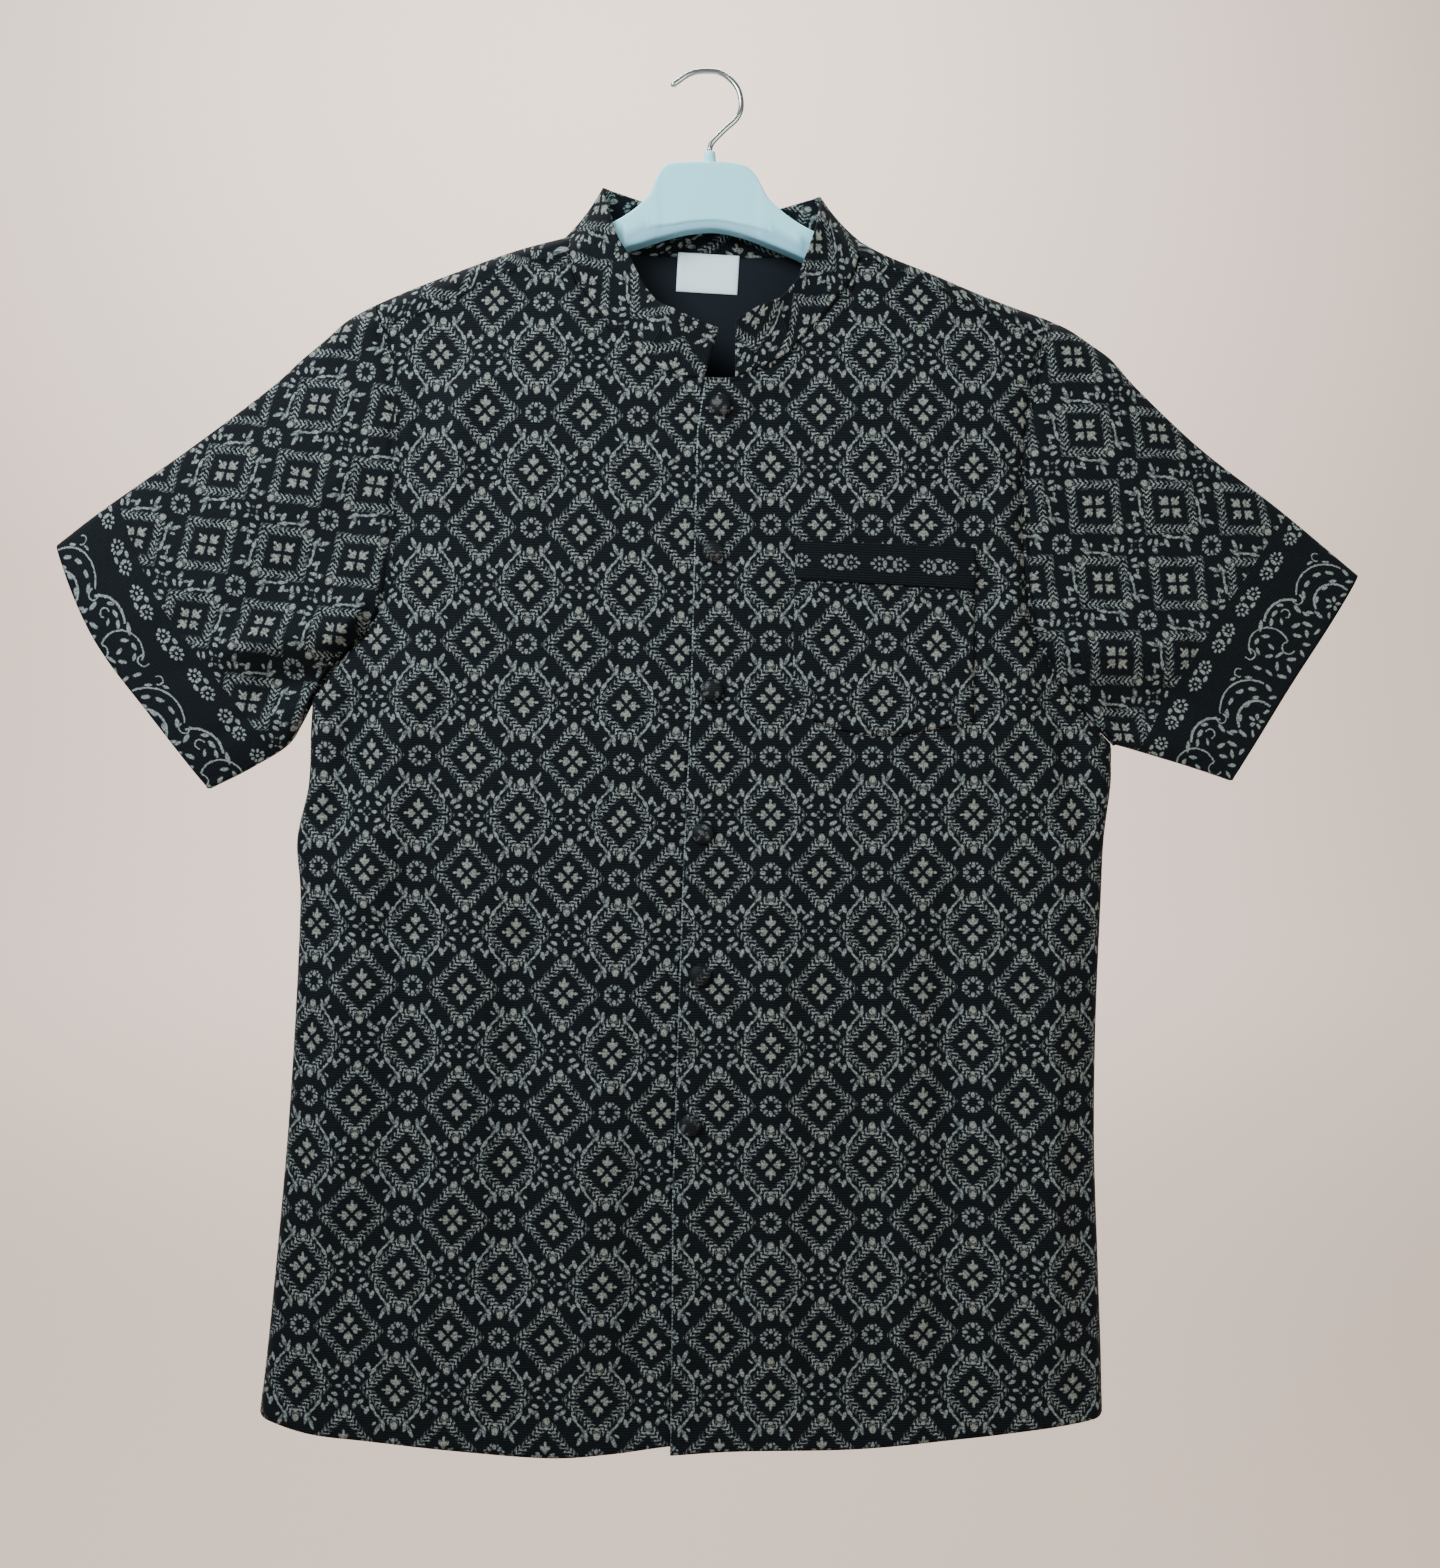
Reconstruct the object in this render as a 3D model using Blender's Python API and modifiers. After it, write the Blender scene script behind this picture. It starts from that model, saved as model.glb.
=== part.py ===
"""Mandarin collar shirt on a hanger, at its real size.

The shirt hangs in the X-Z plane with its front towards -Y, and the wearer's right is at -X. The origin is
the inner top of the hanger's hook, where a rail or peg carries it. Sizes are in millimetres here and are
turned to metres as each mesh is made. Every cloth piece is an open surface with a Solidify wall.
"""

import math

import bmesh
import bpy
import numpy as np

MM = 0.001
WALL = 1.4
SEAM_GAP = 0.3
RIM = 1.3
RIDGE_DEPTH = 9.0
UNDERARM_DEPTH = 2.6
UNDERARM_SPARE = 1.8

FRONT_DEPTH = 23.0
BACK_DEPTH = 17.0
CLOSING_LIFT = 1.5
CLOSING_EASE = 70.0
UNDERLAP = 30.0

PANEL_ROWS = 26
ARM_ROWS = 10
FRONT_COLUMNS = 15
NECK_COLUMNS = 8
BACK_COLUMNS = 30
SLEEVE_STEPS = 11
CUFF_DEPTH = 7.0
SLEEVE_DEPTH = 15.0

COLLAR_WALL = 2.0
BUTTON_DIAMETER = 14.0
BUTTON_HEIGHT = 5.0
POCKET_WALL = 1.2
BAND_WALL = 1.0
LABEL_SIZE = (40.5, 25.5)
LABEL_WALL = 0.6
LINING_WALL = 1.0
LINING_DROP = 150.0
POCKET_COLUMNS = 10
POCKET_ROWS = 8
BAND_ROWS = 3
HANGER_SIDES = 20
HANGER_ROUND = 0.35
HOOK_STEPS = 34
BUTTON_FOOT = 1.2
BUTTON_STEPS = 20

WIRE = 3.5

# The seam's depth grows from the shoulder fold, and falls again towards the underarm, over these shares
ARM_RISE = 0.25
ARM_FALL = 0.55
ARM_EXTRA = 5.0
# Places of the points between the shoulder seam and the fold, as a share of the way, and their depth
OVER_SHARE = 0.45
FALL_SHARE = 0.9
OVER_DEPTH = 6.5
# Shares of a panel's height over which its depth grows from its top edge, and of a sleeve's length
FRONT_SETTLE = 0.14
BACK_SETTLE = 0.10
SLEEVE_SETTLE = 0.3
# How fast folds grow: from a fold's ends, from a panel's top edge and its sides, and along a sleeve
FOLD_RISE = 4.0
FOLD_START = 0.25
CALM_TOP = 12.0
CALM_FRONT_SIDE = 9.0
CALM_BACK_SIDE = 7.0
CALM_SLEEVE = (5.0, 4.0, 8.0)
BACK_FOLD_SHARE = 0.7
SLEEVE_ROUND = 3.2
SLEEVE_HIGH = 0.05

# Outlines in the plane of the shirt, as (x, z) down or along each edge
RIGHT = {
    "ridge": [(-92, -106), (-121.5, -113.8), (-158.6, -126.8), (-192.4, -139.8), (-216, -150)],
    "shoulder": [(-88.5, -117.5), (-133.6, -133), (-176, -153.7), (-210, -166)],
    "armhole": [(-210, -166), (-202, -195), (-199.6, -227), (-201.5, -293), (-210, -348), (-237, -378),
                (-257.4, -404)],
    "side": [(-257.4, -404), (-258.7, -458), (-266.5, -497), (-264.5, -536), (-267.8, -614), (-273, -692),
             (-280, -770), (-286, -829), (-290.5, -868)],
    "hem": [(-290.5, -868), (-254.5, -876), (-214.5, -879), (-156.6, -884), (-99.7, -887.6), (-61.8, -885),
            (-25.2, -880.4), (4, -879)],
    "sleeve_top": [(-216, -150), (-232.7, -159.5), (-247, -172), (-262.6, -185), (-284.7, -204.7), (-337, -243.7),
                   (-392.6, -282.7), (-423, -306)],
    "sleeve_under": [(-259.5, -403), (-270, -432), (-295, -449), (-324.3, -463.5)],
    "cuff": [(-423, -306), (-405, -350), (-388, -380), (-358, -419), (-324.3, -463.5)],
}
LEFT = {
    "ridge": [(97.5, -108), (119, -120.2), (151.5, -133.2), (183.3, -146.2), (220, -159.5)],
    "shoulder": [(96.3, -120.5), (140, -137), (181, -158), (219, -175)],
    "armhole": [(219, -175), (209, -205), (205, -233), (202.4, -274), (205.5, -335), (213.6, -371), (239, -410),
                (262.6, -437)],
    "side": [(262.6, -437), (261, -462), (256.7, -497), (254.8, -536), (251.5, -614), (250.5, -692),
             (252.8, -770), (254.8, -829), (255.5, -868)],
    "hem": [(255.5, -868), (244.5, -869.5), (204.7, -873), (146.9, -878), (90, -882.2), (14.1, -883), (-23.8, -885)],
    "sleeve_top": [(220, -159.5), (233.3, -165.7), (247, -175), (260.6, -185.2), (278, -204.7), (319.8, -243.7),
                   (370.5, -282.7), (422, -325.6)],
    "sleeve_under": [(262.6, -437), (275, -440), (312, -449.8), (340, -458.2)],
    "cuff": [(422, -325.6), (399.7, -360.7), (374.4, -399.7), (351, -438.7), (340, -458.2)],
}
# Neck seam from the centre front up to the shoulder seam, as (x, y, z)
NECK_RIGHT = [(6.5, -21.8, -204), (-20.7, -21.8, -201), (-33.4, -21, -194.4), (-43, -20, -185), (-52.6, -19, -174.7),
              (-61, -18, -166.7), (-68.8, -16.5, -157), (-75.4, -15, -146), (-82, -13, -133.5), (-88.5, -9, -117.5)]
NECK_LEFT = [(-1.5, -24.6, -204), (16.7, -24.4, -203.8), (35.1, -22.4, -196), (49.7, -20.5, -187.7),
             (58.7, -19.5, -177.8), (71.5, -18, -163), (78.6, -16.5, -153), (85.8, -14.8, -143.6),
             (92, -12.6, -134), (96.3, -9, -120.5)]
# Neck seam over the shoulders and round the back, from the right shoulder seam to the left one
NECK_BACK = [(-88.5, -9, -117.5), (-92, 0, -106), (-85, 8.5, -104), (-70, 13.5, -107), (-46.5, 16, -110.5),
             (7.8, 17, -112), (56, 16, -112), (77, 13.5, -110), (91, 8.5, -107), (97.5, 0, -108),
             (96.3, -9, -120.5)]
FRONT_EDGE = [(-1.5, -204), (-6.7, -237), (-11.2, -420.4), (-15.6, -515.2), (-22.5, -724), (-22.5, -776),
              (-23.8, -885)]

BACK_HEM = [(-290.5, -868), (-200, -877), (-100, -880), (0, -880), (100, -877), (190, -872), (255.5, -868)]

# Largest folds of the body, as ridges or troughs along a line in the plane of the shirt
FOLD_COLUMNS = ("x0", "z0", "x1", "z1", "width", "height")
FRONT_FOLDS = [
    (-178, -215, -192, -330, 12, -4.0),
    (-150, -200, -172, -270, 16, 3.5),
    (-215, -400, -250, -520, 20, -4.5),
    (-185, -380, -235, -560, 22, 4.0),
    (-235, -560, -245, -760, 24, 4.0),
    (-190, -480, -205, -800, 18, -2.5),
    (-125, -540, -135, -800, 20, -4.0),
    (-72, -640, -78, -840, 22, 3.5),
    (-42, -700, -48, -870, 9, -2.5),
    (70, -200, 18, -235, 8, -2.0),
    (222, -380, 240, -500, 12, -4.0),
    (190, -300, 205, -420, 14, 3.5),
    (150, -500, 152, -860, 18, -4.0),
    (215, -560, 218, -850, 20, 3.5),
    (45, -470, 40, -850, 22, 3.0),
    (100, -640, 100, -860, 16, -2.0),
]
BACK_FOLDS = [
    (-150, -230, -190, -420, 18, 4.0),
    (-200, -420, -225, -640, 20, -4.0),
    (-110, -300, -125, -820, 24, 4.5),
    (-20, -260, -30, -840, 26, -4.0),
    (70, -320, 62, -830, 24, 4.5),
    (150, -240, 185, -430, 18, 4.0),
    (165, -520, 160, -850, 20, -4.0),
    (215, -480, 222, -820, 20, 3.5),
]
# Folds of the sleeves: along is 0 at the armhole and 1 at the cuff, across is 0 on top and 1 below
SLEEVE_FOLD_COLUMNS = ("along0", "across0", "along1", "across1", "width", "height")
RIGHT_SLEEVE_FOLDS = [
    (0.10, 0.85, 0.75, 0.62, 0.10, 5.0),
    (0.15, 0.98, 0.60, 0.82, 0.09, -5.0),
    (0.05, 0.45, 0.55, 0.50, 0.09, -3.0),
    (0.10, 0.15, 0.60, 0.25, 0.10, 2.5),
]
LEFT_SLEEVE_FOLDS = [
    (0.08, 0.80, 0.65, 0.60, 0.10, 4.5),
    (0.12, 0.95, 0.70, 0.85, 0.09, -4.5),
    (0.05, 0.40, 0.60, 0.42, 0.10, -3.0),
    (0.10, 0.12, 0.55, 0.22, 0.10, 2.5),
]

# Collar, from its right front end round the back to its left front end: a point of the neck seam and the
# point of the collar's top edge above it, each as x, y, z
COLLAR = [
    (-2.3, -21.8, -203.4, 6.9, -25.0, -172.8),
    (-20.7, -21.8, -201.0, -9.2, -25.5, -166.6),
    (-33.4, -21.0, -194.4, -18.6, -26.0, -161.6),
    (-43.0, -20.0, -185.0, -25.0, -24.5, -158.8),
    (-52.6, -19.0, -174.7, -32.0, -20.5, -153.8),
    (-61.0, -18.0, -166.7, -38.6, -18.0, -145.6),
    (-68.8, -16.5, -157.0, -45.0, -16.5, -134.0),
    (-75.4, -15.0, -146.0, -51.5, -15.0, -121.0),
    (-82.0, -13.0, -133.5, -57.8, -13.5, -110.0),
    (-88.5, -9.0, -117.5, -63.2, -11.5, -94.4),
    (-92.0, 0.0, -106.0, -67.8, -2.0, -75.4),
    (-85.0, 8.5, -104.0, -62.0, 9.5, -72.0),
    (-70.0, 13.5, -107.0, -46.4, 14.5, -75.5),
    (-46.5, 16.0, -110.5, -20.0, 16.5, -82.5),
    (7.8, 17.0, -112.0, 4.0, 17.5, -85.0),
    (56.0, 16.0, -112.0, 28.0, 16.5, -84.5),
    (77.0, 13.5, -110.0, 50.0, 14.5, -80.5),
    (91.0, 8.5, -107.0, 66.5, 9.5, -77.5),
    (97.5, 0.0, -108.0, 72.4, -2.0, -80.8),
    (96.3, -9.0, -120.5, 71.2, -11.5, -94.0),
    (92.0, -12.6, -134.0, 69.0, -14.0, -105.0),
    (85.8, -14.8, -143.6, 65.0, -16.0, -117.0),
    (78.6, -16.5, -153.0, 61.0, -17.5, -128.0),
    (71.5, -18.0, -163.0, 57.0, -19.0, -139.4),
    (58.7, -19.5, -177.8, 48.0, -21.5, -150.7),
    (49.7, -20.5, -187.7, 42.0, -25.0, -155.0),
    (35.1, -22.4, -196.0, 34.0, -27.0, -158.6),
    (17.5, -24.5, -203.6, 17.9, -28.0, -168.1),
]
COLLAR_ROWS = 4
COLLAR_BOW = 1.5
COLLAR_STAND = (1.2, 1.9)

# Patch pocket: its outline from the top left, down, round the point and up, as (x, z)
POCKET_SIDES = {"left": (55.6, 53.3), "right": (169.8, 169.0)}
POCKET_TOP = (-307.6, -311.4)
POCKET_BAND_DROP = (24.0, 27.0)
POCKET_FOOT = [-415.0, -424.5, -430.5, -430.0, -426.0, -421.0]
BUTTONS = [(7.8, -221.8), (3.4, -313.9), (2.8, -401.6), (-2.9, -491.8), (-4.8, -581.3), (-11.1, -676.0)]
LABEL_CENTRE = (-0.3, -124.8)
LABEL_TURN = -3.3

# Hanger: the top, the foot and the thickness of its section at each place along it
HANGER_COLUMNS = ("x", "top", "foot", "thick")
HANGER = [
    (-178, -142.0, -155.0, 7), (-150, -131.5, -148.0, 8), (-120, -120.5, -138.5, 9), (-95, -113.0, -130.0, 10),
    (-80, -107.5, -124.5, 12), (-62.6, -98.4, -117.5, 15), (-53, -93.0, -114.0, 15), (-44.3, -86.4, -111.5, 15),
    (-37.3, -78.5, -109.2, 15), (-33.4, -70.0, -108.0, 15), (-29.5, -62.4, -106.8, 14), (-25, -59.2, -105.6, 14),
    (-14, -58.2, -103.0, 14), (0, -58.0, -101.5, 14), (10, -58.6, -102.2, 14), (20, -59.6, -104.5, 14),
    (25, -61.2, -106.0, 14), (30.6, -66.5, -108.0, 14), (35, -74.5, -109.8, 15), (39.5, -82.3, -111.6, 15),
    (48.3, -90.9, -115.2, 15), (58, -98.0, -119.4, 15), (69.5, -104.2, -124.8, 15), (85, -110.5, -131.0, 12),
    (98, -116.0, -136.0, 10), (120, -128.0, -145.0, 9), (151.5, -141.0, -156.5, 8), (178, -151.5, -164.0, 7),
]
HOOK = [(-24.1, -7.4), (-19.5, -4.2), (-14, -0.4), (-8, 2.0), (-1, 2.6), (7, 1.9), (14, -2.4), (19.2, -8.6),
        (21.4, -16), (21.2, -23), (18, -29.2), (11.5, -35), (5.4, -41), (2.4, -44.5), (1.2, -48), (1.2, -50)]
SOCKET = {"centre": (1.2, 0.0), "top": -50.3, "foot": -57.9, "radius": 4.2}


def smooth_step(value):
    """0 below 0, 1 above 1, and an even rise between."""
    held = np.clip(value, 0.0, 1.0)
    return held * held * (3.0 - 2.0 * held)


def along(points, shares):
    """Points at the given shares of the length of a smooth curve through the points (Catmull-Rom)."""
    points = np.array(points, float)
    padded = np.vstack([2 * points[0] - points[1], points, 2 * points[-1] - points[-2]])
    fine = []
    for index in range(len(points) - 1):
        a, b, c, d = padded[index : index + 4]
        t = np.linspace(0, 1, 16, endpoint=False)[:, None]
        fine.append(0.5 * (2 * b + (c - a) * t + (2 * a - 5 * b + 4 * c - d) * t**2
                           + (3 * b - a - 3 * c + d) * t**3))
    fine = np.vstack(fine + [points[-1:]])
    lengths = np.concatenate([[0], np.cumsum(np.linalg.norm(np.diff(fine, axis=0), axis=1))])
    wanted = np.asarray(shares) * lengths[-1]
    return np.stack([np.interp(wanted, lengths, fine[:, axis]) for axis in range(fine.shape[1])], axis=1)


def patch(top, bottom, left, right):
    """Coons patch between four edge curves: rows run from top to bottom, columns from left to right."""
    u = (arc_shares(top) + arc_shares(bottom))[None, :, None] / 2
    v = (arc_shares(left) + arc_shares(right))[:, None, None] / 2
    between = (1 - v) * top[None] + v * bottom[None] + (1 - u) * left[:, None] + u * right[:, None]
    corners = ((1 - u) * (1 - v) * top[0] + u * (1 - v) * top[-1] + (1 - u) * v * bottom[0] + u * v * bottom[-1])
    return between - corners


def arc_shares(curve):
    lengths = np.concatenate([[0], np.cumsum(np.linalg.norm(np.diff(curve, axis=0), axis=1))])
    return lengths / lengths[-1]


def folds_at(x, z, table, columns):
    """Sum of the folds at a place: each is a bell across its line that fades out towards the line's ends."""
    total = np.zeros_like(x)
    for row in table:
        fold = dict(zip(columns, row))
        start = np.array([row[0], row[1]])
        run = np.array([row[2], row[3]]) - start
        share = ((x - start[0]) * run[0] + (z - start[1]) * run[1]) / (run @ run)
        held = np.clip(share, 0, 1)
        distance = np.hypot(x - start[0] - held * run[0], z - start[1] - held * run[1])
        fade = smooth_step(held * FOLD_RISE + FOLD_START) * smooth_step((1 - held) * FOLD_RISE + FOLD_START)
        total += fold["height"] * fade * np.exp(-((distance / fold["width"]) ** 2))
    return total


def with_y(points, y):
    points = np.asarray(points, float)
    return np.stack([points[:, 0], np.broadcast_to(y, len(points)), points[:, 1]], axis=1)


def shell(name, points, wall, material, closed=False, inward=False):
    """Mesh of a grid of points with a Solidify wall, joined round in its columns when closed."""
    rows, columns, _ = points.shape
    mesh = bpy.data.meshes.new(name)
    count = columns if closed else columns - 1
    faces = []
    for row in range(rows - 1):
        for column in range(count):
            after = (column + 1) % columns
            face = [row * columns + column, row * columns + after, (row + 1) * columns + after,
                    (row + 1) * columns + column]
            faces.append(face[::-1] if inward else face)
    flat = points.reshape(-1, 3)
    faces = [face for face in faces if not np.isnan(flat[face]).any()]
    kept = sorted({corner for face in faces for corner in face})
    renamed = {old: new for new, old in enumerate(kept)}
    mesh.from_pydata((flat[kept] * MM).tolist(), [], [[renamed[corner] for corner in face] for face in faces])
    mesh.shade_smooth()
    shown = add_object(name, mesh, material)
    solidify = shown.modifiers.new("wall", "SOLIDIFY")
    solidify.thickness = wall * MM
    solidify.offset = 0.0
    return shown


def add_object(name, mesh, material):
    shown = bpy.data.objects.new(name, mesh)
    shown.data.materials.append(material)
    PARTS.objects.link(shown)
    return shown


def make_material(name, colour, roughness, metallic=0.0):
    material = bpy.data.materials.new(name)
    material.use_nodes = True
    shader = material.node_tree.nodes["Principled BSDF"]
    shader.inputs["Base Color"].default_value = (*colour, 1.0)
    shader.inputs["Roughness"].default_value = roughness
    shader.inputs["Metallic"].default_value = metallic
    return material


def unit(vectors):
    vectors = np.asarray(vectors, float)
    return vectors / np.linalg.norm(vectors, axis=-1, keepdims=True)


def across(curve, towards):
    """Unit directions in the plane of the shirt, square to a curve and on the side that towards points to."""
    run = np.gradient(curve, axis=0)
    turned = unit(np.stack([run[:, 2], np.zeros(len(run)), -run[:, 0]], axis=1))
    flip = np.sign(turned @ np.asarray(towards, float))
    return turned * flip[:, None]


def lens(share):
    """Depth of the laid-flat body across its width: 1 at the middle, 0 at the fold, with a rounded fold."""
    return (1.0 - np.clip(np.abs(share), 0, 1) ** 3) ** (1 / 2.2)


class Armhole:
    """The seam between one sleeve and the body: down the front, and over the shoulder and down the back."""

    def __init__(self, outline, outwards):
        shares = np.linspace(0, 1, ARM_ROWS + 1)
        plan = along(outline["armhole"], shares)
        drop = smooth_step((shares - ARM_FALL) / (1 - ARM_FALL))
        rise = smooth_step(shares / ARM_RISE)
        depth = (RIDGE_DEPTH + ARM_EXTRA * rise) * (1 - drop) + UNDERARM_DEPTH * drop
        self.front = with_y(plan, -depth)
        ridge = np.array(outline["ridge"][-1], float)
        seam = np.array(outline["armhole"][0], float)
        back_top = ridge + (seam - ridge) * FALL_SHARE
        front_over = OVER_SHARE * seam + (1 - OVER_SHARE) * ridge
        back_over = OVER_SHARE * back_top + (1 - OVER_SHARE) * ridge
        self.over = np.array([[*seam, -RIDGE_DEPTH], [*front_over, -OVER_DEPTH], [*ridge, 0.0],
                              [*back_over, OVER_DEPTH], [*back_top, RIDGE_DEPTH]])[:, [0, 2, 1]]
        self.back = self.front * np.array([1, -1, 1])
        self.back[0] = self.over[-1]
        self.out_front = across(self.front, outwards)
        self.out_back = self.out_front.copy()
        slope = unit([outline["ridge"][-1][0] - outline["ridge"][-2][0], 0,
                      outline["ridge"][-1][1] - outline["ridge"][-2][1]])
        self.out_over = np.repeat(slope[None], len(self.over), axis=0)
        self.out_over[0] = self.out_over[-1] = unit(slope + self.out_front[0])
        self.out_front[0] = self.out_back[0] = self.out_over[0]


def side_edge(outline, arm, facing):
    """Armhole and side seam as one edge, top to hem, with its rim, for the front (-1) or the back (+1)."""
    seam = arm.front if facing < 0 else arm.back
    out = arm.out_front if facing < 0 else arm.out_back
    inner = seam - (RIM + SEAM_GAP / 2) * out
    rim = seam - SEAM_GAP / 2 * out
    down = with_y(along(outline["side"], np.linspace(0, 1, PANEL_ROWS - ARM_ROWS + 1)), facing * UNDERARM_DEPTH)
    down[0] = inner[-1]
    rim_down = down.copy()
    opened = SEAM_GAP / 2 + 1.0 * smooth_step(1 - np.arange(len(down)) / 3)
    rim_down[:, 1] = facing * opened
    return np.vstack([inner[:-1], down]), np.vstack([rim[:-1], rim_down])


def front_panel(outline, neck, arm, edge_x, lift):
    """One front, from its closing edge to its side, with rims at the shoulder, the armhole and the side."""
    neck_curve = along(neck, np.linspace(0, 1, NECK_COLUMNS + 1))
    shoulder = with_y(along(outline["shoulder"], np.linspace(0, 1, FRONT_COLUMNS - NECK_COLUMNS + 1)), -RIDGE_DEPTH)
    up_neck = across(neck_curve, (-np.sign(outline["ridge"][0][0]), 0, 1.0))
    up_shoulder = np.repeat(unit([[0, 0.5, 0.87]]), len(shoulder), axis=0)
    rim_top = np.vstack([neck_curve[:-1], shoulder - SEAM_GAP / 2 * up_shoulder])
    up = np.vstack([up_neck[:-1], up_shoulder])
    up[NECK_COLUMNS] = unit(up_neck[-1] + up_shoulder[0])
    top = rim_top - RIM * up
    side, side_rim = side_edge(outline, arm, -1)
    fall = unit(arm.front[1] - arm.front[0])
    side[0] += (RIM + 2 * SEAM_GAP) * fall
    side_rim[0] += (RIM + 2 * SEAM_GAP) * fall
    top[-1] = side[0]
    closing = edge_x(np.linspace(top[0, 2], outline["hem"][-1][1], PANEL_ROWS + 1))
    closing[0] = top[0]
    closing[:, 1] = -(FRONT_DEPTH + lift)
    closing[0, 1] = top[0, 1]
    hem = with_y(along(outline["hem"][::-1], np.linspace(0, 1, FRONT_COLUMNS + 1) ** 0.8), 0)
    hem[0], hem[-1] = closing[-1], side[-1]
    hem[:, 1] = np.linspace(closing[-1, 1], side[-1, 1], len(hem))
    grid = patch(top, hem, closing, side)
    u = (np.abs(grid[..., 0] - grid[:, :1, 0]) / np.abs(grid[:, -1:, 0] - grid[:, :1, 0]))
    v = np.linspace(0, 1, PANEL_ROWS + 1)[:, None]
    lifted = FRONT_DEPTH + lift * (1 - smooth_step(np.abs(grid[..., 0] - grid[:, :1, 0]) / CLOSING_EASE))
    full = grid[:, -1:, 1] - (lifted + grid[:, -1:, 1]) * lens(u)
    grid[..., 1] += (full - grid[..., 1]) * smooth_step(v / FRONT_SETTLE)
    calm = smooth_step(v * CALM_TOP) * smooth_step((1 - u) * CALM_FRONT_SIDE)
    grid[..., 1] -= calm * folds_at(grid[..., 0], grid[..., 2], FRONT_FOLDS, FOLD_COLUMNS)
    rimmed = np.concatenate([grid, side_rim[:, None]], axis=1)
    rim_top[-1] = side[0] - RIM * fall
    top_rim = np.vstack([rim_top, side_rim[:1] - RIM * fall])
    return np.concatenate([top_rim[None], rimmed], axis=0)


def left_edge(z):
    return edge_points(FRONT_EDGE, z, 0.0)


def right_edge(z):
    return edge_points(FRONT_EDGE, z, UNDERLAP)


def edge_points(edge, z, shift):
    table = np.array(edge, float)[::-1]
    x = np.interp(z, table[:, 1], table[:, 0]) + shift * smooth_step((-190.0 - z) / 60.0)
    return np.stack([x, np.zeros_like(z), z], axis=1)


def back_panel(arms):
    """The back with its two strips over the shoulders, as one grid. Places outside the cut are NaN."""
    shoulder_columns = FRONT_COLUMNS - NECK_COLUMNS
    neck_columns = BACK_COLUMNS - 2 * shoulder_columns
    strips = []
    for outline, arm, neck in ((RIGHT, arms[0], NECK_BACK[:3]), (LEFT, arms[1], NECK_BACK[:-4:-1])):
        shares = np.linspace(0, 1, shoulder_columns + 1)
        seam = with_y(along(outline["shoulder"], shares), -RIDGE_DEPTH)
        ridge = with_y(along(outline["ridge"], shares), 0.0)
        fall = ridge + np.array([0, RIDGE_DEPTH, 0]) + FALL_SHARE * (seam - ridge) * np.array([1, 0, 1])
        near = smooth_step(1 - shares * 3)[:, None]
        fall = fall * (1 - near) + np.array(neck[2]) * near
        up = unit([[0, 0.5, 0.87]])
        first, second = seam + SEAM_GAP / 2 * up, seam + (RIM + SEAM_GAP / 2) * up
        rows = [first, second, ridge, fall]
        tips = arm.over - (RIM + SEAM_GAP / 2) * arm.out_over
        for row, tip in zip(rows, (tips[0] + SEAM_GAP / 2 * up[0], tips[0] + (RIM + SEAM_GAP / 2) * up[0],
                                   tips[2], tips[4])):
            row[-1] = tip
        middle = [(second + ridge) / 2 + np.array([0, -2.2, 1.6]), (ridge + fall) / 2 + np.array([0, 2.2, 1.6])]
        strips.append(np.array([first, second, middle[0], ridge, middle[1], fall]))
    right, left = strips
    neck_back = along(NECK_BACK[2:-2], np.linspace(0, 1, neck_columns + 1))
    top = np.vstack([right[-1][::-1], neck_back[1:-1], left[-1]])
    sides = [side_edge(outline, arm, 1) for outline, arm in ((RIGHT, arms[0]), (LEFT, arms[1]))]
    for (inner, rim), arm in zip(sides, arms):
        inner[0] = arm.over[4] - (RIM + SEAM_GAP / 2) * arm.out_over[4]
        rim[0] = arm.over[4] - SEAM_GAP / 2 * arm.out_over[4]
    top[0], top[-1] = sides[0][0][0], sides[1][0][0]
    hem = with_y(along(BACK_HEM, np.linspace(0, 1, BACK_COLUMNS + 1)), UNDERARM_DEPTH)
    hem[0], hem[-1] = sides[0][0][-1], sides[1][0][-1]
    grid = patch(top, hem, sides[0][0], sides[1][0])
    width = grid[:, -1:, 0] - grid[:, :1, 0]
    u = (grid[..., 0] - grid[:, :1, 0]) / width
    v = np.linspace(0, 1, PANEL_ROWS + 1)[:, None]
    ends = grid[:, :1, 1] * (1 - u) + grid[:, -1:, 1] * u
    full = ends + (BACK_DEPTH - ends) * lens(2 * u - 1)
    grid[..., 1] += (full - grid[..., 1]) * smooth_step(v / BACK_SETTLE)
    calm = smooth_step(v * CALM_TOP) * smooth_step((1 - np.abs(2 * u - 1)) * CALM_BACK_SIDE)
    grid[..., 1] += calm * folds_at(grid[..., 0], grid[..., 2], BACK_FOLDS, FOLD_COLUMNS)
    body = np.concatenate([sides[0][1][:, None], grid, sides[1][1][:, None]], axis=1)
    upper = np.full((5, BACK_COLUMNS + 3, 3), np.nan)
    for row in range(5):
        upper[row, 1 : shoulder_columns + 2] = right[row][::-1]
        upper[row, -shoulder_columns - 2 : -1] = left[row]
        place = (0, 0, 1, 2, 3)[row]
        for column, arm in ((0, arms[0]), (-1, arms[1])):
            upper[row, column] = upper[row, 1 if column == 0 else -2] + RIM * arm.out_over[place]
    return np.concatenate([upper, body], axis=0)


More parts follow.
